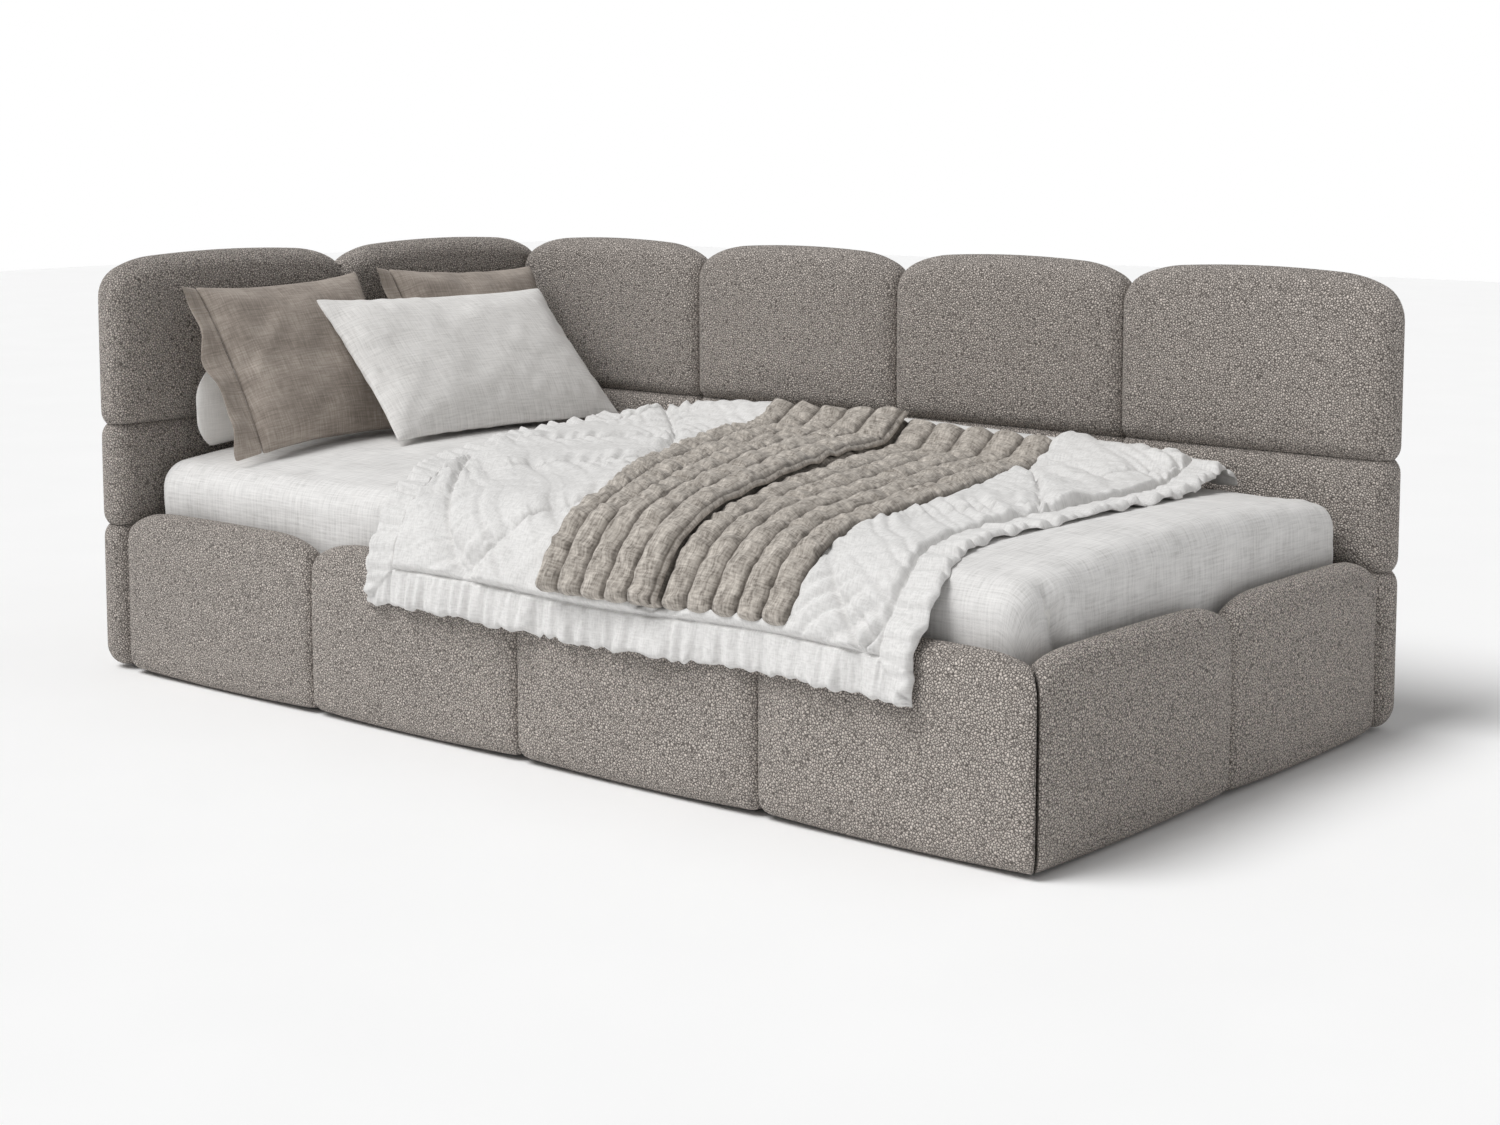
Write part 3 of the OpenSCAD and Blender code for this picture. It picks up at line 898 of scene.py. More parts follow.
@dataclass
class Mattress:
    """The mattress and the fitted sheet that wraps it."""

    ticking: bpy.types.Material
    linen: bpy.types.Material
    crown: float = 0.032
    edge_radius: float = 0.042
    cloth: float = 0.0015
    spacing: float = 0.013
    hem: float = 0.07

    def __post_init__(self) -> None:
        """Reads where the mattress lies."""
        self.low, self.high = node_box("mattress")
        self.middle_y = (self.low[1] + self.high[1]) / 2
        self.half_y = (self.high[1] - self.low[1]) / 2

    def rise(self, y: np.ndarray) -> np.ndarray:
        """How far the crowned top stands above its long edges at a place across the bed."""
        return self.crown * (1 - np.clip((y - self.middle_y) / self.half_y, -1, 1) ** 2)

    def surface(self, y: np.ndarray) -> np.ndarray:
        """Height of the made bed at a place across it."""
        return self.high[2] - self.crown + self.rise(y) + 0.005

    def form(self, margin: float) -> tuple[np.ndarray, np.ndarray, np.ndarray]:
        """The mattress' shape, grown by a margin.

        Args:
            margin: how far to grow it, in metres.

        Returns:
            Points, outward directions and quads.
        """
        low, high = self.low - margin, self.high + margin
        low[2] = self.low[2]
        high[2] = self.high[2] - self.crown + margin
        points, out, quads = rounded_box(low, high, self.edge_radius, self.spacing)
        upper = ease(low[2], high[2], points[:, 2])
        points[:, 2] += self.rise(points[:, 1]) * upper
        return points, out, quads

    def build_core(self) -> None:
        """The bare mattress, a little smaller than the sheet around it."""
        points, out, quads = self.form(-0.003)
        points += out * 0.001 * crumple(points[:, 0] / 0.1, points[:, 1] / 0.1, 11)[:, None]
        piece = make_object("mattress_core", points, quads.tolist(), points[:, :2] + points[:, 2:3])
        piece.data.materials.append(self.ticking)
        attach(piece, ROOT)
        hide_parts("mattress")
        LOG.info("mattress: %d faces", len(quads))

    def creases(self, points: np.ndarray, out: np.ndarray) -> np.ndarray:
        """How far the sheet stands off: slack on top, drag lines at the foot, folds at the corners.

        Args:
            points: the sheet's points.
            out: their outward directions.

        Returns:
            The height at each point, in metres.
        """
        x, y, z = points.T
        top = ease(0.5, 0.95, out[:, 2])
        slack = 0.0016 * crumple(x / 0.17, y / 0.11, 21)
        to_foot = ease(self.high[0] - 0.34, self.high[0] - 0.05, x)
        drag = 0.0022 * unevenness(x / 0.022, y / 0.5, 22) * to_foot * top
        to_head = ease(self.low[0] + 0.3, self.low[0] + 0.05, x)
        head_drag = 0.0014 * unevenness(x / 0.03, y / 0.3, 23) * to_head * top
        side = 1 - top
        foot_side = side * np.clip(out[:, 0], 0, 1)
        long_side = side * np.clip(-out[:, 1], 0, 1)
        pulled = 0.0026 * unevenness(y / 0.35, z / 0.018, 24) * foot_side
        hang = 0.0020 * unevenness(x / 0.22, z / 0.05, 25) * long_side
        corner_y = np.abs(y - self.low[1])
        fold = corner_y - 0.060 - 0.30 * (self.high[2] - self.crown - z)
        pleat = 0.012 * np.exp(-((fold / 0.014) ** 2)) * foot_side
        lap = 0.010 * ease(0.0, 0.018, fold) * ease(0.10, 0.018, fold) * foot_side
        return slack + drag + head_drag + pulled + hang + lap - pleat + 0.0025

    def build_sheet(self) -> None:
        """The fitted sheet over the top and sides, tucked a hand's width under."""
        points, out, quads = self.form(self.cloth)
        points = points + out * self.creases(points, out)[:, None]
        to_sides = [points[:, :2] - self.low[:2], points[:, :2] - self.high[:2]]
        inner = np.min(np.abs(np.concatenate(to_sides, axis=1)), axis=1)
        under = (points[:, 2] < self.low[2] + 0.002) & (inner > self.hem)
        points[:, 2] = np.maximum(points[:, 2], self.low[2] - 0.001)
        kept = quads[~under[quads].any(axis=1)]
        used, place = np.unique(kept, return_inverse=True)
        drop = self.high[2] - points[:, 2]
        flat = np.stack([points[:, 0] + out[:, 0] * drop, points[:, 1] + out[:, 1] * drop], axis=1)
        piece = make_object("fitted_sheet_cloth", points[used], place.reshape(-1, 4).tolist(), flat[used])
        solid = piece.modifiers.new("cloth_thickness", "SOLIDIFY")
        solid.thickness = self.cloth
        solid.offset = 1.0
        piece.data.materials.append(self.linen)
        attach(piece, ROOT)
        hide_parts("fitted_sheet")
        LOG.info("fitted sheet: %d faces", len(kept))


@dataclass
class Lie:
    """Where cloth lies on the bed: up the front rail, over the mattress' edge, across it and up at the back.

    A place on it is given by x along the bed and by its share of the way from the hem to the back edge.
    """

    mattress: Mattress
    hem_z: float = 0.232
    columns: int = 90
    rows: int = 420

    def __post_init__(self) -> None:
        """Works out the line at every column."""
        self.front_y = node_box("front_rail_pad_b")[0][1]
        self.rail_z = node_box("front_rail_pad_b")[1][2]
        self.head_x = self.mattress.low[0]
        self.x = np.linspace(self.head_x, self.mattress.high[0], self.columns)
        lines = [self.line(x) for x in self.x]
        self.length = np.array([length for _, length in lines])
        self.table = np.stack([line for line, _ in lines])

    def heap(self, from_head: float) -> float:
        """Height of the heap along the back panel at a distance from the mattress' head end."""
        places = [0.36, 0.50, 0.64, 0.76, 0.93, 1.20, 1.52, 1.73, 1.88]
        heights = [0.0, 0.020, 0.040, 0.047, 0.046, 0.050, 0.038, 0.028, 0.004]
        return float(np.interp(from_head, places, heights))

    def line(self, x: float) -> tuple[np.ndarray, float]:
        """The line at one place along the bed.

        Args:
            x: the place.

        Returns:
            Evenly spaced points of y and z, and the line's length.
        """
        edge_y, back_y = self.mattress.low[1], self.mattress.high[1]
        edge_z = self.mattress.high[2] - self.mattress.crown
        from_head = x - self.head_x
        heap = self.heap(from_head)
        hang = 0.007 * (1 + math.sin(from_head * 15.0) * 0.6 + math.sin(from_head * 37.0 + 1.0) * 0.4)
        front = [
            (self.front_y - 0.004 - hang, self.hem_z + 0.004 * math.sin(from_head * 9.0)),
            (self.front_y - 0.004 - hang * 0.6, self.rail_z - 0.05),
            (self.front_y - 0.003, self.rail_z - 0.012),
            (self.front_y + 0.014, self.rail_z + 0.022),
            (self.front_y + 0.040, self.rail_z + 0.062),
            (edge_y + 0.012, edge_z - 0.002),
            (edge_y + 0.045, edge_z + 0.010),
        ]
        flat_y = np.linspace(edge_y + 0.09, back_y - 0.24, 9)
        across = [(float(y), edge_z + float(self.mattress.rise(y)) + 0.006) for y in flat_y]
        top_z = across[-1][1]
        back = [
            (back_y - 0.19, top_z + 0.10 * heap - 0.001), (back_y - 0.14, top_z + 0.50 * heap - 0.003),
            (back_y - 0.10, top_z + 0.90 * heap - 0.003), (back_y - 0.065, top_z + 1.04 * heap - 0.003),
            (back_y - 0.035, top_z + 0.92 * heap - 0.006), (back_y - 0.014, top_z + 0.62 * heap - 0.012),
            (back_y - 0.004, top_z + 0.25 * heap - 0.020),
        ]
        rough = np.array(front + across + back)
        for _ in range(3):
            quarter = rough[:-1] * 0.75 + rough[1:] * 0.25
            three = rough[:-1] * 0.25 + rough[1:] * 0.75
            smooth = np.stack([quarter, three], axis=1).reshape(-1, 2)
            rough = np.concatenate([rough[:1], smooth, rough[-1:]])
        way = np.concatenate([[0.0], np.cumsum(np.linalg.norm(np.diff(rough, axis=0), axis=1))])
        even = np.linspace(0.0, way[-1], self.rows)
        line = np.stack([np.interp(even, way, rough[:, 0]), np.interp(even, way, rough[:, 1])], axis=1)
        return line, float(way[-1])

    def read(self, values: np.ndarray, x: np.ndarray, share: np.ndarray) -> np.ndarray:
        """Reads the table between its columns and rows.

        Args:
            values: columns x rows numbers.
            x: places along the bed.
            share: places along the line, from 0 to 1.

        Returns:
            The values there.
        """
        c = np.clip((x - self.x[0]) / (self.x[-1] - self.x[0]) * (self.columns - 1), 0, self.columns - 1.001)
        r = np.clip(share * (self.rows - 1), 0, self.rows - 1.001)
        ci, ri = c.astype(int), r.astype(int)
        fc, fr = c - ci, r - ri
        low = values[ci, ri] * (1 - fr) + values[ci, ri + 1] * fr
        high = values[ci + 1, ri] * (1 - fr) + values[ci + 1, ri + 1] * fr
        return low * (1 - fc) + high * fc

    def at(self, x: np.ndarray, share: np.ndarray, lift: np.ndarray) -> np.ndarray:
        """Places on the lie, lifted off it.

        Args:
            x: places along the bed.
            share: places along the line, from 0 to 1.
            lift: how far off the line, in metres.

        Returns:
            Points, with x, y and z along the last axis.
        """
        step = 2.0 / self.rows
        y, z = (self.read(self.table[:, :, i], x, share) for i in (0, 1))
        ahead, behind = np.clip(share + step, 0, 1), np.clip(share - step, 0, 1)
        dy = self.read(self.table[:, :, 0], x, ahead) - self.read(self.table[:, :, 0], x, behind)
        dz = self.read(self.table[:, :, 1], x, ahead) - self.read(self.table[:, :, 1], x, behind)
        size = np.maximum(np.hypot(dy, dz), 1e-9)
        return np.stack([x, y - dz / size * lift, z + dy / size * lift], axis=-1)

    def across(self, share: np.ndarray) -> np.ndarray:
        """Distance from the bed's open front of places on the line, half way along the bed."""
        middle = self.table[self.columns // 2, :, 0]
        return np.interp(share, np.linspace(0, 1, self.rows), middle) - self.front_y


@dataclass
class Quilt:
    """A white quilt, stitched in large diamonds, with a gathered border all round."""

    lie: Lie
    cotton: bpy.types.Material
    rows: int = 370
    columns: int = 350
    border: float = 0.064
    diamond: float = 0.42
    slant: float = 0.80
    first_seam: float = 0.935
    loft: float = 0.014
    base: float = 0.005

    def outline(self, across: np.ndarray) -> tuple[np.ndarray, np.ndarray]:
        """The quilt's two side edges.

        Args:
            across: distance from the open front.

        Returns:
            Where the head side and the foot side edges are, from the mattress' head end.
        """
        head_y = [-0.02, 0.05, 0.10, 0.246, 0.343, 0.525, 0.773, 1.04]
        head_x = [0.692, 0.676, 0.648, 0.557, 0.522, 0.470, 0.400, 0.375]
        foot_y = [-0.02, 0.05, 0.143, 0.25, 0.404, 0.55, 0.70, 0.856, 1.04]
        foot_x = [1.862, 1.876, 1.838, 1.822, 1.848, 1.866, 1.866, 1.845, 1.800]
        return smooth_edge(across, head_y, head_x), smooth_edge(across, foot_y, foot_x)

    def seams(self, u: np.ndarray, v: np.ndarray) -> tuple[np.ndarray, np.ndarray]:
        """The stitched diamonds.

        Args:
            u: place along the bed on the flat quilt.
            v: place across the bed on it.

        Returns:
            Distance to the nearest seam, and the puckers that the seams draw into the cloth.
        """
        size = math.hypot(1.0, self.slant)
        nearest = np.full_like(u, 1.0)
        puckers = np.zeros_like(u)
        for turn in (1.0, -1.0):
            bend = 0.025 * np.sin((v - self.border) * 6.0)
            place = (u - self.first_seam + bend + turn * self.slant * (v - self.border)) / self.diamond
            gap = np.abs(place - np.round(place)) * self.diamond / size
            along = (v - turn * self.slant * u) / size
            drift = along + 0.012 * np.sin(gap * 22.0 + along * 9.0)
            wide = 3.0 * np.abs(unevenness(drift / 0.027, gap / 0.25, 31 + int(turn))) ** 0.8 - 0.9
            tight = 0.8 - 2.4 * np.abs(unevenness(drift / 0.0125, gap / 0.16, 35 + int(turn)))
            puckers += wide * 0.0060 * np.exp(-gap / 0.100) + tight * 0.0030 * np.exp(-gap / 0.070)
            nearest = np.minimum(nearest, gap)
        return nearest, puckers

    def build(self) -> bpy.types.Object:
        """Builds the quilt.

        Returns:
            The quilt.
        """
        length = float(np.mean(self.lie.length))
        share, s = np.meshgrid(self.steps(self.rows, length), self.steps(self.columns, 1.35), indexing="ij")
        head, foot = self.outline(self.lie.across(share))
        width = foot - head
        x = self.lie.head_x + head + s * width
        u, v = s * float(np.mean(width)), share * length
        along_side, along_hem = v, x
        edge_u = np.minimum(s, 1 - s) * width
        edge_v = np.minimum(v, length - v)
        edge = np.minimum(edge_u, edge_v)
        gap, puckers = self.seams(x - self.lie.head_x, v)
        filled = 0.001 + self.loft * (1 - np.exp(-gap / 0.012)) + puckers * ease(0.0, 0.007, gap)
        filled += 0.0028 * crumple(u / 0.12, v / 0.09, 41)
        inside = ease(self.border - 0.001, self.border + 0.010, edge)
        along = np.where(edge_u < edge_v, along_side, along_hem)
        ruffle = 1.5 * unevenness(along / 0.0125, edge / 0.14, 45)
        ruffle = ruffle + 0.5 * unevenness(along / 0.006, edge / 0.05, 46)
        outward = ease(self.border, 0.0, edge)
        band = 0.0065 + 0.0052 * ruffle * (0.6 + 0.4 * outward)
        seam = 1 - 0.85 * np.exp(-(((edge - self.border) / 0.0026) ** 2))
        thick = self.base * 0.6 + np.where(edge < self.border, band, band + (filled - band) * inside) * seam
        rounded = np.clip(1 - (1 - np.clip(edge / 0.009, 0, 1)) ** 2, 0.04, 1)
        thick = np.maximum(thick, 0.002) * np.sqrt(rounded)
        under_throw = self.under_throw(x, share)
        thick = thick + (0.008 - thick) * under_throw
        wave = 0.0044 * (1 + unevenness(along / 0.024, edge / 0.3, 50)) * outward * (1 - under_throw)
        heap = self.heap_folds(x, share)
        lift = wave + heap
        notch = unevenness(along_side / 0.013, s * 0, 54)
        scallop = 0.0034 * notch * ease(0.03, 0.0, edge_u) * np.sign(s - 0.5)
        upper = self.lie.at(x + scallop, share, lift + thick)
        lower = self.lie.at(x + scallop, share, lift)
        hem = 0.0046 * unevenness(x / 0.013, s * 0, 55) * ease(0.03, 0.0, v)
        upper[..., 2] -= hem
        lower[..., 2] -= hem
        piece = closed_cloth("quilt_cover", upper, lower, np.stack([u, v], axis=-1))
        piece.data.flip_normals()
        piece.data.materials.append(self.cotton)
        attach(piece, ROOT)
        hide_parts("quilt")
        LOG.info("quilt: %d faces", len(piece.data.polygons))
        return piece

    def steps(self, count: int, length: float) -> np.ndarray:
        """Places of the mesh lines from one edge to the other, closer together at the border's two seams.

        Args:
            count: how many mesh lines.
            length: distance between the edges, in metres.

        Returns:
            The places, from 0 to 1.
        """
        even = np.linspace(0, length, 4000)
        near = np.exp(-(((np.minimum(even, length - even) - self.border) / 0.008) ** 2))
        way = np.concatenate([[0.0], np.cumsum(1 + 2.2 * near[1:])])
        return np.interp(np.linspace(0, way[-1], count), way, even) / length

    def heap_folds(self, x: np.ndarray, share: np.ndarray) -> np.ndarray:
        """Soft folds where the quilt is pushed together along the back panel.

        Args:
            x: places along the bed.
            share: places along the lie.

        Returns:
            How far the folds lift the quilt.
        """
        folds = 0.5 + 0.5 * crumple((x + 0.4 * share) / 0.16, share / 0.035, 52)
        return 0.010 * folds * ease(0.72, 0.86, share) * ease(1.0, 0.93, share)

    def under_throw(self, x: np.ndarray, share: np.ndarray) -> np.ndarray:
        """1 where the throw presses the quilt flat, and 0 away from it."""
        head, foot = throw_outline(self.lie.across(share))
        from_head = x - self.lie.head_x
        inside = ease(-0.012, 0.02, from_head - head) * ease(-0.012, 0.02, foot - from_head)
        return inside * ease(Throw.first_share, Throw.first_share + 0.02, share)


def smooth_edge(across: np.ndarray, places: list[float], values: list[float]) -> np.ndarray:
    """A smooth curve through a few chosen places.

    Args:
        across: where to read the curve.
        places: the chosen places.
        values: the curve's values at them.

    Returns:
        The curve's values, in the shape of across.
    """
    fine = np.linspace(places[0] - 0.2, places[-1] + 0.2, 300)
    rough = np.interp(fine, places, values)
    weight = np.hanning(25)
    padded = np.pad(rough, 12, mode="edge")
    return np.interp(across, fine, np.convolve(padded, weight / weight.sum(), mode="valid"))


def throw_outline(across: np.ndarray) -> tuple[np.ndarray, np.ndarray]:
    """The throw's two long edges.

    Args:
        across: distance from the open front.

    Returns:
        Where the head side and the foot side edges are, from the mattress' head end.
    """
    head_y = [-0.02, 0.104, 0.324, 0.569, 0.80, 1.0]
    head_x = [1.135, 1.120, 1.026, 0.950, 0.861, 0.805]
    foot_y = [-0.02, 0.03, 0.20, 0.318, 0.486, 0.74, 1.0]
    foot_x = [1.625, 1.640, 1.606, 1.606, 1.597, 1.530, 1.475]
    return smooth_edge(across, head_y, head_x), smooth_edge(across, foot_y, foot_x)


@dataclass
class Throw:
    """A channel-quilted throw, folded lengthwise so that its head side half lies double."""

    lie: Lie
    cotton: bpy.types.Material
    quilt_under: float = 0.0085
    first_share: float = 0.066
    last_share: float = 0.905
    rows: int = 300
    under_columns: int = 130
    over_columns: int = 72
    channels: int = 10
    double_share: float = 0.50
    thick: float = 0.019
    flat: float = 0.003
    rise: float = 0.017

    def section(self) -> tuple[np.ndarray, np.ndarray, np.ndarray, np.ndarray, np.ndarray, np.ndarray]:
        """The folded throw's cross section: from its foot side under the double half and back on top.

        Returns:
            Share of the width from the foot side, height of the middle layer, its two normal directions, the
            place on the flat throw in channel widths, and the distance from the nearer free edge.
        """
        single, double = 1.0, self.double_share
        lower = np.linspace(0, single - 0.02, self.under_columns)
        turn = np.linspace(-math.pi / 2, math.pi / 2, 11)[1:-1]
        upper = np.linspace(single - 0.02, single - double, self.over_columns)
        height = 0.003
        share = np.concatenate([lower, single - 0.02 + 0.02 * np.cos(turn), upper])
        level = np.concatenate([
            np.full(len(lower), height), height + self.rise / 2 + self.rise / 2 * np.sin(turn),
            np.full(len(upper), height + self.rise)])
        scale = 0.55
        dx, dz = np.gradient(-share * scale), np.gradient(level)
        size = np.hypot(dx, dz)
        normal_x, normal_z = dz / size, -dx / size
        way = np.concatenate([[0.0], np.cumsum(np.hypot(np.diff(share * scale), np.diff(level)))])
        place = way / (scale / self.channels)
        free = np.minimum(way, way[-1] - way)
        return share, level, normal_x, normal_z, place, free

    def build(self) -> bpy.types.Object:
        """Builds the throw.

        Returns:
            The throw.
        """
        share_across, level, normal_x, normal_z, place, free = self.section()
        share = np.linspace(self.first_share, self.last_share, self.rows)
        way, columns = np.meshgrid(share, np.arange(len(place)), indexing="ij")
        scallop = np.abs(np.sin(math.pi * place[columns])) ** 0.6
        way = way - 0.004 * scallop * ease(0.03, 0.0, way - self.first_share)
        head, foot = throw_outline(self.lie.across(way))
        length = float(np.mean(self.lie.length))
        v = way * length
        across = share_across[columns]
        on_top = (columns > len(place) - self.over_columns - 1).astype(float)
        x_mid = self.lie.head_x + foot + (head - foot) * across
        x_mid += 0.012 * on_top * unevenness(v / 0.25, v * 0, 60)
        channel = np.abs(np.sin(math.pi * place[columns]))
        number = np.floor(place[columns])
        slanted = v / 0.020 + 3.7 * number + 0.5 * place[columns]
        crease = 0.9 - 2.4 * np.abs(unevenness(slanted, place[columns] * 1.1, 61))
        crease += 0.5 * unevenness(v / 0.008, place[columns] * 2.0, 62)
        broad = unevenness(v / 0.045 + 5.0 * number, place[columns] * 0.8, 63)
        loft = self.flat + (self.thick - self.flat) * channel**0.45
        loft += (0.0040 * crease + 0.0022 * broad) * channel**0.4
        ends = np.minimum(v - v[:1], v[-1:] - v)
        free_edge = np.minimum(free[columns], ends)
        rounded = np.clip(1 - (1 - np.clip(free_edge / 0.010, 0, 1)) ** 2, 0.06, 1)
        loft = np.maximum(loft, 0.002) * np.sqrt(rounded)
        ripple = 0.004 * on_top * (1 + unevenness(v / 0.05, place[columns] * 0.4, 64))
        base = self.quilt_under + level[columns] + ripple
        out_x = normal_x[columns]
        lift = np.where(on_top > 0, 0.0, loft)
        sink = np.where(on_top > 0, loft, 0.0)
        upper = self.lie.at(x_mid + out_x * lift, way, base + normal_z[columns] * lift)
        lower = self.lie.at(x_mid - out_x * sink, way, base - normal_z[columns] * sink)
        flat = np.stack([place[columns] * 0.055, v], axis=-1)
        piece = closed_cloth("throw_cover", upper, lower, flat)
        piece.data.materials.append(self.cotton)
        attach(piece, ROOT)
        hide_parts("throw")
        LOG.info("throw: %d faces", len(piece.data.polygons))
        return piece


# ---------------------------------------------------------------- pillows


@dataclass
class Case:
    """A pillow in its case: its sewn outline is blown up, then it is set down and leaned back."""

    node: str
    slot: str
    cloth: bpy.types.Material
    bed: Mattress
    width: float
    height: float
    thick: float
    spot: Point
    lean: float
    roll: float = 0.0
    flange: float = 0.0
    bow: float = 0.05
    pull: float = 14.0
    seed: int = 70
    pressure: float = 4.0
    spacing: float = 0.0125
    seam: float = 0.0
    round_end: float = 0.0
    cap: float = 0.012

    def outline(self, s: np.ndarray, t: np.ndarray) -> tuple[np.ndarray, np.ndarray]:
        """Places on the flat case: its sides bow inwards a little between pointed corners.

        Args:
            s: share of the width, from -1 to 1.
            t: share of the height, from -1 to 1.

        Returns:
            The two coordinates, in metres.
        """
        bow_u = 1 - self.bow * (1 - t**2) * np.abs(s) ** 3
        bow_v = 1 - self.bow * (1 - s**2) * np.abs(t) ** 3
        bow_u = bow_u - self.round_end * self.height / self.width * np.abs(t) ** 3 * np.abs(s) ** 3
        return s * bow_u * self.width / 2, t * bow_v * self.height / 2

    def shell(self) -> tuple[np.ndarray, np.ndarray]:
        """The flat case: two layers, sewn together along the rim.

        Returns:
            Points of both layers, and the quads.
        """
        columns = int(round(self.width / self.spacing))
        rows = int(round(self.height / self.spacing))
        t, s = np.meshgrid(np.linspace(-1, 1, rows), np.linspace(-1, 1, columns), indexing="ij")
        u, v = self.outline(s, t)
        dome = (1 - np.abs(s) ** 2.4) ** 0.6 * (1 - np.abs(t) ** 2.2) ** 0.6
        front = np.stack([u, -dome * self.thick * 0.42, v], axis=-1).reshape(-1, 3)
        back = np.stack([u, dome * self.thick * 0.42, v], axis=-1).reshape(-1, 3)
        number = np.arange(rows * columns).reshape(rows, columns)
        sewn = number.copy() + rows * columns
        rim = np.zeros((rows, columns), dtype=bool)
        rim[0], rim[-1], rim[:, 0], rim[:, -1] = True, True, True, True
        sewn[rim] = number[rim]
        quads = grid_quads(rows, columns)[:, ::-1]
        other = sewn.reshape(-1)[grid_quads(rows, columns)]
        every = np.concatenate([front, back])
        used, place = np.unique(np.concatenate([quads, other]), return_inverse=True)
        return every[used], place.reshape(-1, 4)

    def stuff(self, points: np.ndarray, quads: np.ndarray) -> np.ndarray:
        """Blows the case up, so that its cloth pulls in at the rim and creases as real cloth does.

        Args:
            points: the flat case's points.
            quads: its quads.

        Returns:
            The stuffed case's points.
        """
        blank = make_object(f"{self.node}_blank", points, quads.tolist())
        cloth = blank.modifiers.new("stuffing", "CLOTH")
        cloth.settings.quality = 6
        cloth.settings.mass = 0.25
        cloth.settings.tension_stiffness = self.pull
        cloth.settings.compression_stiffness = self.pull * 0.6
        cloth.settings.shear_stiffness = 4.0
        cloth.settings.bending_stiffness = 0.35
        cloth.settings.use_pressure = True
        cloth.settings.uniform_pressure_force = self.pressure
        cloth.settings.effector_weights.gravity = 0.0
        scene = bpy.context.scene
        for frame_number in range(1, 21):
            scene.frame_set(frame_number)
        settled = blank.evaluated_get(bpy.context.evaluated_depsgraph_get())
        result = np.empty(len(points) * 3)
        settled.data.vertices.foreach_get("co", result)
        scene.frame_set(1)
        mesh = blank.data
        bpy.data.objects.remove(blank)
        bpy.data.meshes.remove(mesh)
        moved = result.reshape(-1, 3) - points
        reach = np.maximum(np.linalg.norm(moved, axis=1, keepdims=True), 1e-9)
        return points + moved * np.minimum(1.0, self.cap / reach)

    def fit(self, points: np.ndarray) -> np.ndarray:
        """Scales the stuffed case to its real width, height and thickness."""
        low, high = points.min(axis=0), points.max(axis=0)
        size = np.array([self.width, self.thick, self.height])
        return (points - (low + high) / 2) / np.maximum(high - low, 1e-6) * size

    def build(self) -> bpy.types.Object:
        """Builds the pillow and sets it down.

        Returns:
            The pillow.
        """
        flat, quads = self.shell()
        stuffed = self.stuff(flat, quads)
        points = self.fit(stuffed)
        points = self.soften(points)
        unrolled = flat[:, [0, 2]] + flat[:, 1:2] * 0.2
        piece = make_object(f"{self.node}_cover", points, quads.tolist(), unrolled)
        self.settle(piece)
        smooth = piece.modifiers.new("smooth", "SUBSURF")
        smooth.levels = 1
        smooth.render_levels = 1
        piece.data.materials.append(self.cloth)
        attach(piece, ROOT)
        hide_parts(self.node)
        LOG.info("pillow %s: %d faces", self.node, len(piece.data.polygons))
        return piece

    def soften(self, points: np.ndarray) -> np.ndarray:
        """Adds the small unevenness of the filling, and drag lines at the seams.

        Args:
            points: the stuffed points.

        Returns:
            The finished points, still upright.
        """
        u, v = points[:, 0], points[:, 2]
        side = np.sign(points[:, 1])
        rim = np.minimum(self.width / 2 - np.abs(u), self.height / 2 - np.abs(v))
        body = ease(0.0, 0.05, rim)
        lumps = 0.0040 * crumple(u / 0.12, v / 0.09, self.seed) * body
        slack = 0.7 - 2.0 * np.abs(unevenness((u + v) / 0.06, (u - v) / 0.16, self.seed + 3))
        lumps += 0.0018 * slack * body
        along = np.where(self.width / 2 - np.abs(u) < self.height / 2 - np.abs(v), v, u)
        beside_seam = ease(0.0, 0.012, rim) * ease(0.12, 0.02, rim)
        drag = 0.0030 * unevenness(along / 0.017, rim / 0.10, self.seed + 5) * beside_seam
        result = points.copy()
        result[:, 1] += side * (lumps + drag)
        if self.seam:
            gap = np.abs(u + self.width / 2 - self.seam)
            result[:, 1] *= 1 - 0.10 * np.exp(-((gap / 0.010) ** 2))
        return result

    def settle(self, piece: bpy.types.Object) -> None:
        """Leans the pillow back and rests its lower edge on the bed.

        Args:
            piece: the upright pillow, whose width lies along x and whose back faces -y.
        """
        mesh = piece.data
        if self.flange:
            self.add_flange(piece)
        face = Matrix(((0, -1, 0), (-1, 0, 0), (0, 0, 1))).to_4x4()
        lean = Matrix.Rotation(-math.radians(self.lean), 4, "Y")
        roll = Matrix.Rotation(math.radians(self.roll), 4, "X")
        raised = Matrix.Translation((0, 0, self.height / 2))
        mesh.transform(Matrix.Translation(self.spot) @ lean @ roll @ raised @ face)
        points = np.empty(len(mesh.vertices) * 3)
        mesh.vertices.foreach_get("co", points)
        points = points.reshape(-1, 3)
        sunk = self.bed.surface(points[:, 1]) - points[:, 2]
        points[:, 2] += np.where(sunk > 0, sunk * 0.94, 0.0)
        mesh.vertices.foreach_set("co", points.ravel())
        mesh.flip_normals()
        mesh.update()

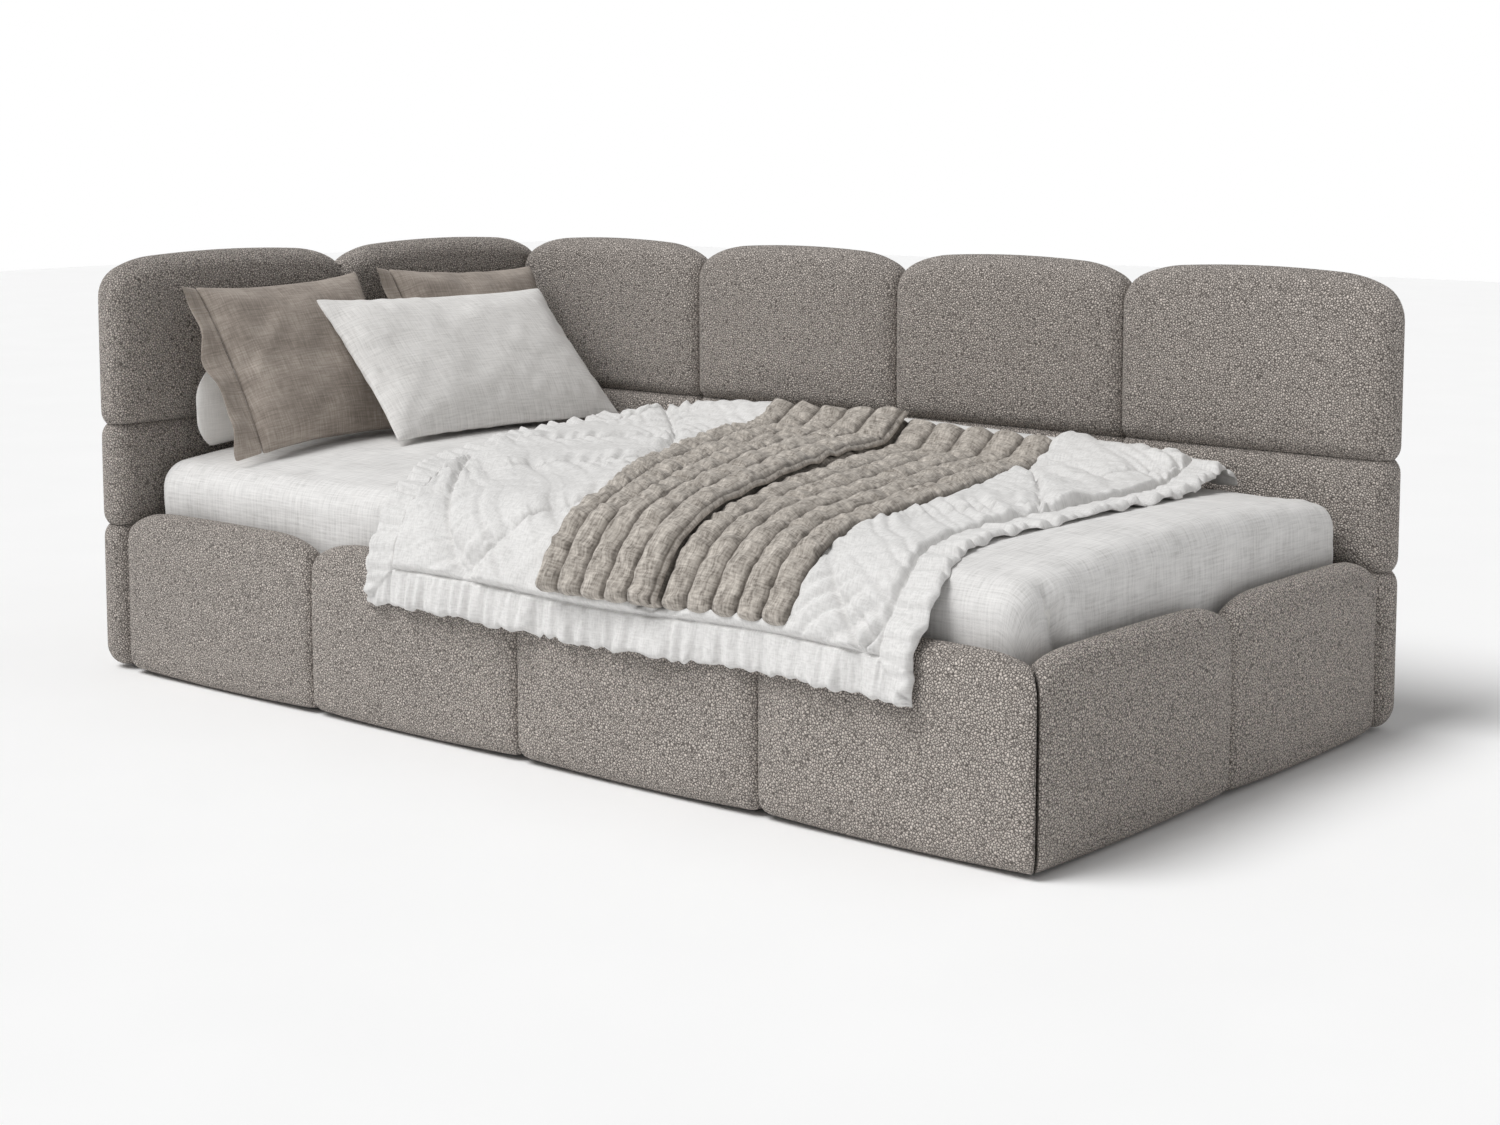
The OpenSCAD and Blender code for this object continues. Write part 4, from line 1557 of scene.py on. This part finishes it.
    def add_flange(self, piece: bpy.types.Object) -> None:
        """Sews the flat border on at the pillow's open end.

        Args:
            piece: the upright pillow, whose width lies along x.
        """
        rows, columns = 34, 8
        v, w = np.meshgrid(np.linspace(-1, 1, rows), np.linspace(0, 1, columns), indexing="ij")
        height = self.height / 2 * (1 - 0.02 * (1 - w)) - 0.003
        side = self.width / 2 * (1 - self.bow * (1 - v**2)) - 0.004
        hang = 0.62 + 0.36 * ease(0.7, -0.9, v) + 0.10 * np.sin(v * 6.5 + 1.2)
        free = self.width / 2 + self.flange * hang
        u = side + w * (free - side)
        wave = (0.008 * np.sin(v * 5.1 + 0.6) + 0.006 * np.sin(v * 11.0)) * w
        wave += 0.005 * crumple(v * 3.0, w * 1.5, self.seed + 9) * w
        stitched = np.exp(-(((w - 0.26) / 0.06) ** 2))
        half = 0.0026 + 0.0022 * ease(0.20, 0.02, w) - 0.0016 * stitched
        half = half * np.where((w == 1) | (np.abs(v) == 1), 0.45, 1.0)
        upper = np.stack([u, wave + half, v * height], axis=-1)
        lower = np.stack([u, wave - half, v * height], axis=-1)
        border = closed_cloth("border", upper, lower, np.stack([u, v * height], axis=-1))
        join_meshes(piece, border)


def join_meshes(piece: bpy.types.Object, other: bpy.types.Object) -> None:
    """Adds one object's mesh to another's and removes the first.

    Args:
        piece: the object that is kept.
        other: the object whose mesh is added to it.
    """
    with bpy.context.temp_override(active_object=piece, object=piece, selected_objects=[piece, other],
                                   selected_editable_objects=[piece, other]):
        bpy.ops.object.join()


@dataclass
class Pillows:
    """The two taupe pillows, the pale linen pillow that leans on them, and the white one behind."""

    mattress: Mattress
    taupe: bpy.types.Material
    linen: bpy.types.Material
    cotton: bpy.types.Material

    flange: float = 0.05
    taupe_height: float = 0.372
    taupe_lean: float = 30.5
    linen_height: float = 0.374
    linen_lean: float = 43.5
    seam_room: float = 0.004
    sink: float = 0.014

    def foot(self, node: str, height: float, lean: float) -> float:
        """Where along the bed the middle of a leaning pillow's lower edge stands.

        Args:
            node: the CAD node that holds the pillow's room.
            height: the pillow's height.
            lean: its lean from upright, in degrees.

        Returns:
            The place along x.
        """
        low, high = node_box(node)
        return (low[0] + height * math.sin(math.radians(lean)) + high[0]) / 2

    def build(self) -> None:
        """Builds the four pillows from back to front."""
        low, high = node_box("white_pillow")
        size = high - low
        Case(node="white_pillow", slot="white_cotton", cloth=self.cotton, bed=self.mattress,
             width=size[1], height=size[2] + 0.012, thick=size[0], lean=0.0, seed=91, bow=0.02,
             round_end=0.55,
             spot=((low[0] + high[0]) / 2, (low[1] + high[1]) / 2, low[2] - 0.012)).build()
        for node, seed, roll in (("taupe_pillow_rear", 71, -2.0), ("taupe_pillow_front", 76, 1.5)):
            low, high = node_box(node)
            width = high[1] - low[1] - self.flange
            foot = self.foot(node, self.taupe_height, self.taupe_lean)
            Case(node=node, slot="taupe_linen", cloth=self.taupe, bed=self.mattress,
                 width=width - self.seam_room, height=self.taupe_height, thick=0.086,
                 lean=self.taupe_lean, roll=roll, flange=self.flange, seed=seed, bow=0.05,
                 spot=(foot, low[1] + self.flange + width / 2, low[2] - self.sink)).build()
        low, high = node_box("linen_pillow")
        foot = self.foot("linen_pillow", self.linen_height, self.linen_lean) - 0.018
        Case(node="linen_pillow", slot="light_linen", cloth=self.linen, bed=self.mattress,
             width=high[1] - low[1] - self.seam_room, height=self.linen_height, thick=0.098,
             lean=self.linen_lean, roll=-1.2, seed=81, bow=0.04, seam=0.035,
             spot=(foot, (low[1] + high[1]) / 2 - 0.028, low[2] - self.sink)).build()


# ---------------------------------------------------------------- the frame's own parts


@dataclass
class Structure:
    """Dresses the boards, bearers, slats and fittings that the CAD already shapes."""

    def dress(self, material: bpy.types.Material, *nodes: str) -> None:
        """Gives CAD nodes a material.

        Args:
            material: the material.
            nodes: the nodes' names.
        """
        for node in nodes:
            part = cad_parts[node]
            for place in part.material_slots:
                place.material = material
            LOG.info("dressed %s", node)

    def build(self) -> None:
        """Dresses every node that stays."""
        pine = ((0.50, 0.33, 0.17), (0.72, 0.53, 0.31))
        birch = ((0.58, 0.42, 0.25), (0.80, 0.66, 0.46))
        along = Timber("pine_along", *pine, grain=(0.06, 1.0, 1.0)).make()
        across = Timber("pine_across", *pine, grain=(1.0, 0.06, 1.0)).make()
        upright = Timber("pine_upright", *pine, grain=(1.0, 1.0, 0.06)).make()
        slats = Timber("birch_across", *birch, grain=(1.0, 0.06, 1.0)).make()
        self.dress(LinedBoard().make(), "headboard_board", "back_panel_board", "front_rail_board",
                   "foot_rail_board")
        self.dress(along, "front_bearer", "back_bearer", "centre_beam")
        self.dress(across, "head_bearer", "foot_bearer")
        self.dress(upright, "beam_leg_head", "beam_leg_foot")
        self.dress(slats, "slats")
        self.dress(MouldedPlastic().make(), "slat_end_pads", "glides")
        self.dress(ZincedSteel().make(), "beam_shoes", "corner_brackets", "bracket_screws")


# ---------------------------------------------------------------- studio


class Side(Enum):
    """The side that a soft light comes from."""

    FRONT = (-0.30, -0.45, 0.84)
    BACK = (0.45, 0.60, 0.66)


@dataclass
class Studio:
    """The pale floor, the soft lights and the camera."""

    spot: Point = (2.9421, -3.4378, 1.0819)
    heading: float = 39.613
    dip: float = 6.194
    lens: float = 59.203
    rise: float = -0.12
    floor: Colour = (0.97, 0.97, 0.97)

    def build_floor(self) -> None:
        """A wide pale floor with a very fine unevenness."""
        size, step = 12.0, 25
        y, x = np.meshgrid(np.linspace(-size, size, step), np.linspace(-size, size, step), indexing="ij")
        points = np.stack([x, y, np.zeros_like(x)], axis=-1).reshape(-1, 3)
        ground = make_object("floor", points, grid_quads(step, step)[:, ::-1].tolist())
        recipe = Recipe("floor", roughness=0.85)
        grain = recipe.noise(recipe.place(False), 3.0, 2.0)
        dimmer = tuple(value * 0.985 for value in self.floor)
        recipe.colour(recipe.tint(grain, [(0.3, dimmer), (0.7, self.floor)]))
        ground.data.materials.append(recipe.material)

    def build_light(self, side: Side, strength: float, spread: float) -> None:
        """One wide, soft light that is the same everywhere on the floor.

        Args:
            side: the side that it comes from.
            strength: its power per square metre.
            spread: how wide it looks, in degrees.
        """
        data = bpy.data.lights.new(f"light_{side.name.lower()}", "SUN")
        data.energy = strength
        data.angle = math.radians(spread)
        light = bpy.data.objects.new(data.name, data)
        light.location = side.value
        light.rotation_euler = (-Vector(side.value)).to_track_quat("-Z", "Y").to_euler()
        bpy.context.scene.collection.objects.link(light)

    def build_world(self, overhead: float) -> None:
        """White walls all around, with a dimmer ceiling.

        Args:
            overhead: the ceiling's brightness, where the walls have 1.
        """
        world = bpy.data.worlds.new("studio")
        world.use_nodes = True
        nodes, links = world.node_tree.nodes, world.node_tree.links
        place = nodes.new("ShaderNodeTexCoord")
        height = nodes.new("ShaderNodeSeparateXYZ")
        ramp = nodes.new("ShaderNodeValToRGB")
        wall, ceiling = ramp.color_ramp.elements
        wall.position, wall.color = 0.12, (1.0, 1.0, 1.0, 1.0)
        ceiling.position, ceiling.color = 0.24, (overhead, overhead, overhead, 1.0)
        links.new(place.outputs["Generated"], height.inputs["Vector"])
        links.new(height.outputs["Z"], ramp.inputs["Fac"])
        links.new(ramp.outputs["Color"], nodes["Background"].inputs["Color"])
        bpy.context.scene.world = world

    def build_camera(self) -> None:
        """The camera that looks at the open corner."""
        data = bpy.data.cameras.new("camera")
        data.lens = self.lens
        data.sensor_width = 36.0
        data.shift_y = self.rise
        data.dof.use_dof = False
        camera = bpy.data.objects.new("camera", data)
        camera.location = self.spot
        camera.rotation_euler = Euler((math.radians(90.0 - self.dip), 0.0, math.radians(self.heading)), "XYZ")
        bpy.context.scene.collection.objects.link(camera)
        bpy.context.scene.camera = camera

    def build(self) -> None:
        """Builds the studio."""
        self.build_camera()
        self.build_floor()
        self.build_world(0.27)
        self.build_light(Side.FRONT, 2.45, 34.0)
        self.build_light(Side.BACK, 0.20, 60.0)
        scene = bpy.context.scene
        scene.view_settings.view_transform = "Standard"
        scene.view_settings.look = "None"


def main() -> None:
    """Builds the daybed piece by piece, and the studio around it."""
    logging.basicConfig(level=logging.INFO, format="%(name)s %(message)s")
    Studio().build()
    Structure().build()
    Upholstery(Boucle().make()).build()
    ticking = CrinkledCotton(
        "ticking", (0.66, 0.65, 0.62), (0.76, 0.75, 0.72), (0.84, 0.83, 0.80), 0.001).make()
    sheet_linen = Linen(
        "sheet_linen", (0.50, 0.491, 0.475), (0.715, 0.705, 0.693), (0.86, 0.85, 0.835),
        threads=240.0).make()
    mattress = Mattress(ticking, sheet_linen)
    mattress.build_core()
    mattress.build_sheet()
    lie = Lie(mattress)
    quilt = CrinkledCotton(
        "quilt_cotton", (0.62, 0.612, 0.60), (0.72, 0.712, 0.70), (0.79, 0.782, 0.77), 0.0007,
        mottle=0.12).make()
    Quilt(lie, quilt).build()
    # channel=0.055 gives the throw's cotton painted shade along its channel lines
    throw = CrinkledCotton(
        "throw_cotton", (0.18, 0.159, 0.137), (0.45, 0.411, 0.367), (0.72, 0.67, 0.605), 0.003,
        channel=0.055, mottle=0.34, drawn=0.4).make()
    Throw(lie, throw).build()
    taupe = Linen(
        "taupe_linen", (0.15, 0.125, 0.105), (0.325, 0.279, 0.241), (0.53, 0.468, 0.412),
        threads=330.0, mottle=0.8).make()
    light = Linen(
        "light_linen", (0.58, 0.565, 0.545), (0.77, 0.755, 0.735), (0.90, 0.885, 0.865),
        threads=300.0, mottle=0.3).make()
    cotton = Linen(
        "white_cotton", (0.78, 0.765, 0.74), (0.85, 0.835, 0.81), (0.92, 0.905, 0.88),
        mottle=0.3).make()
    Pillows(mattress, taupe, light, cotton).build()


if __name__ == "__main__":
    main()
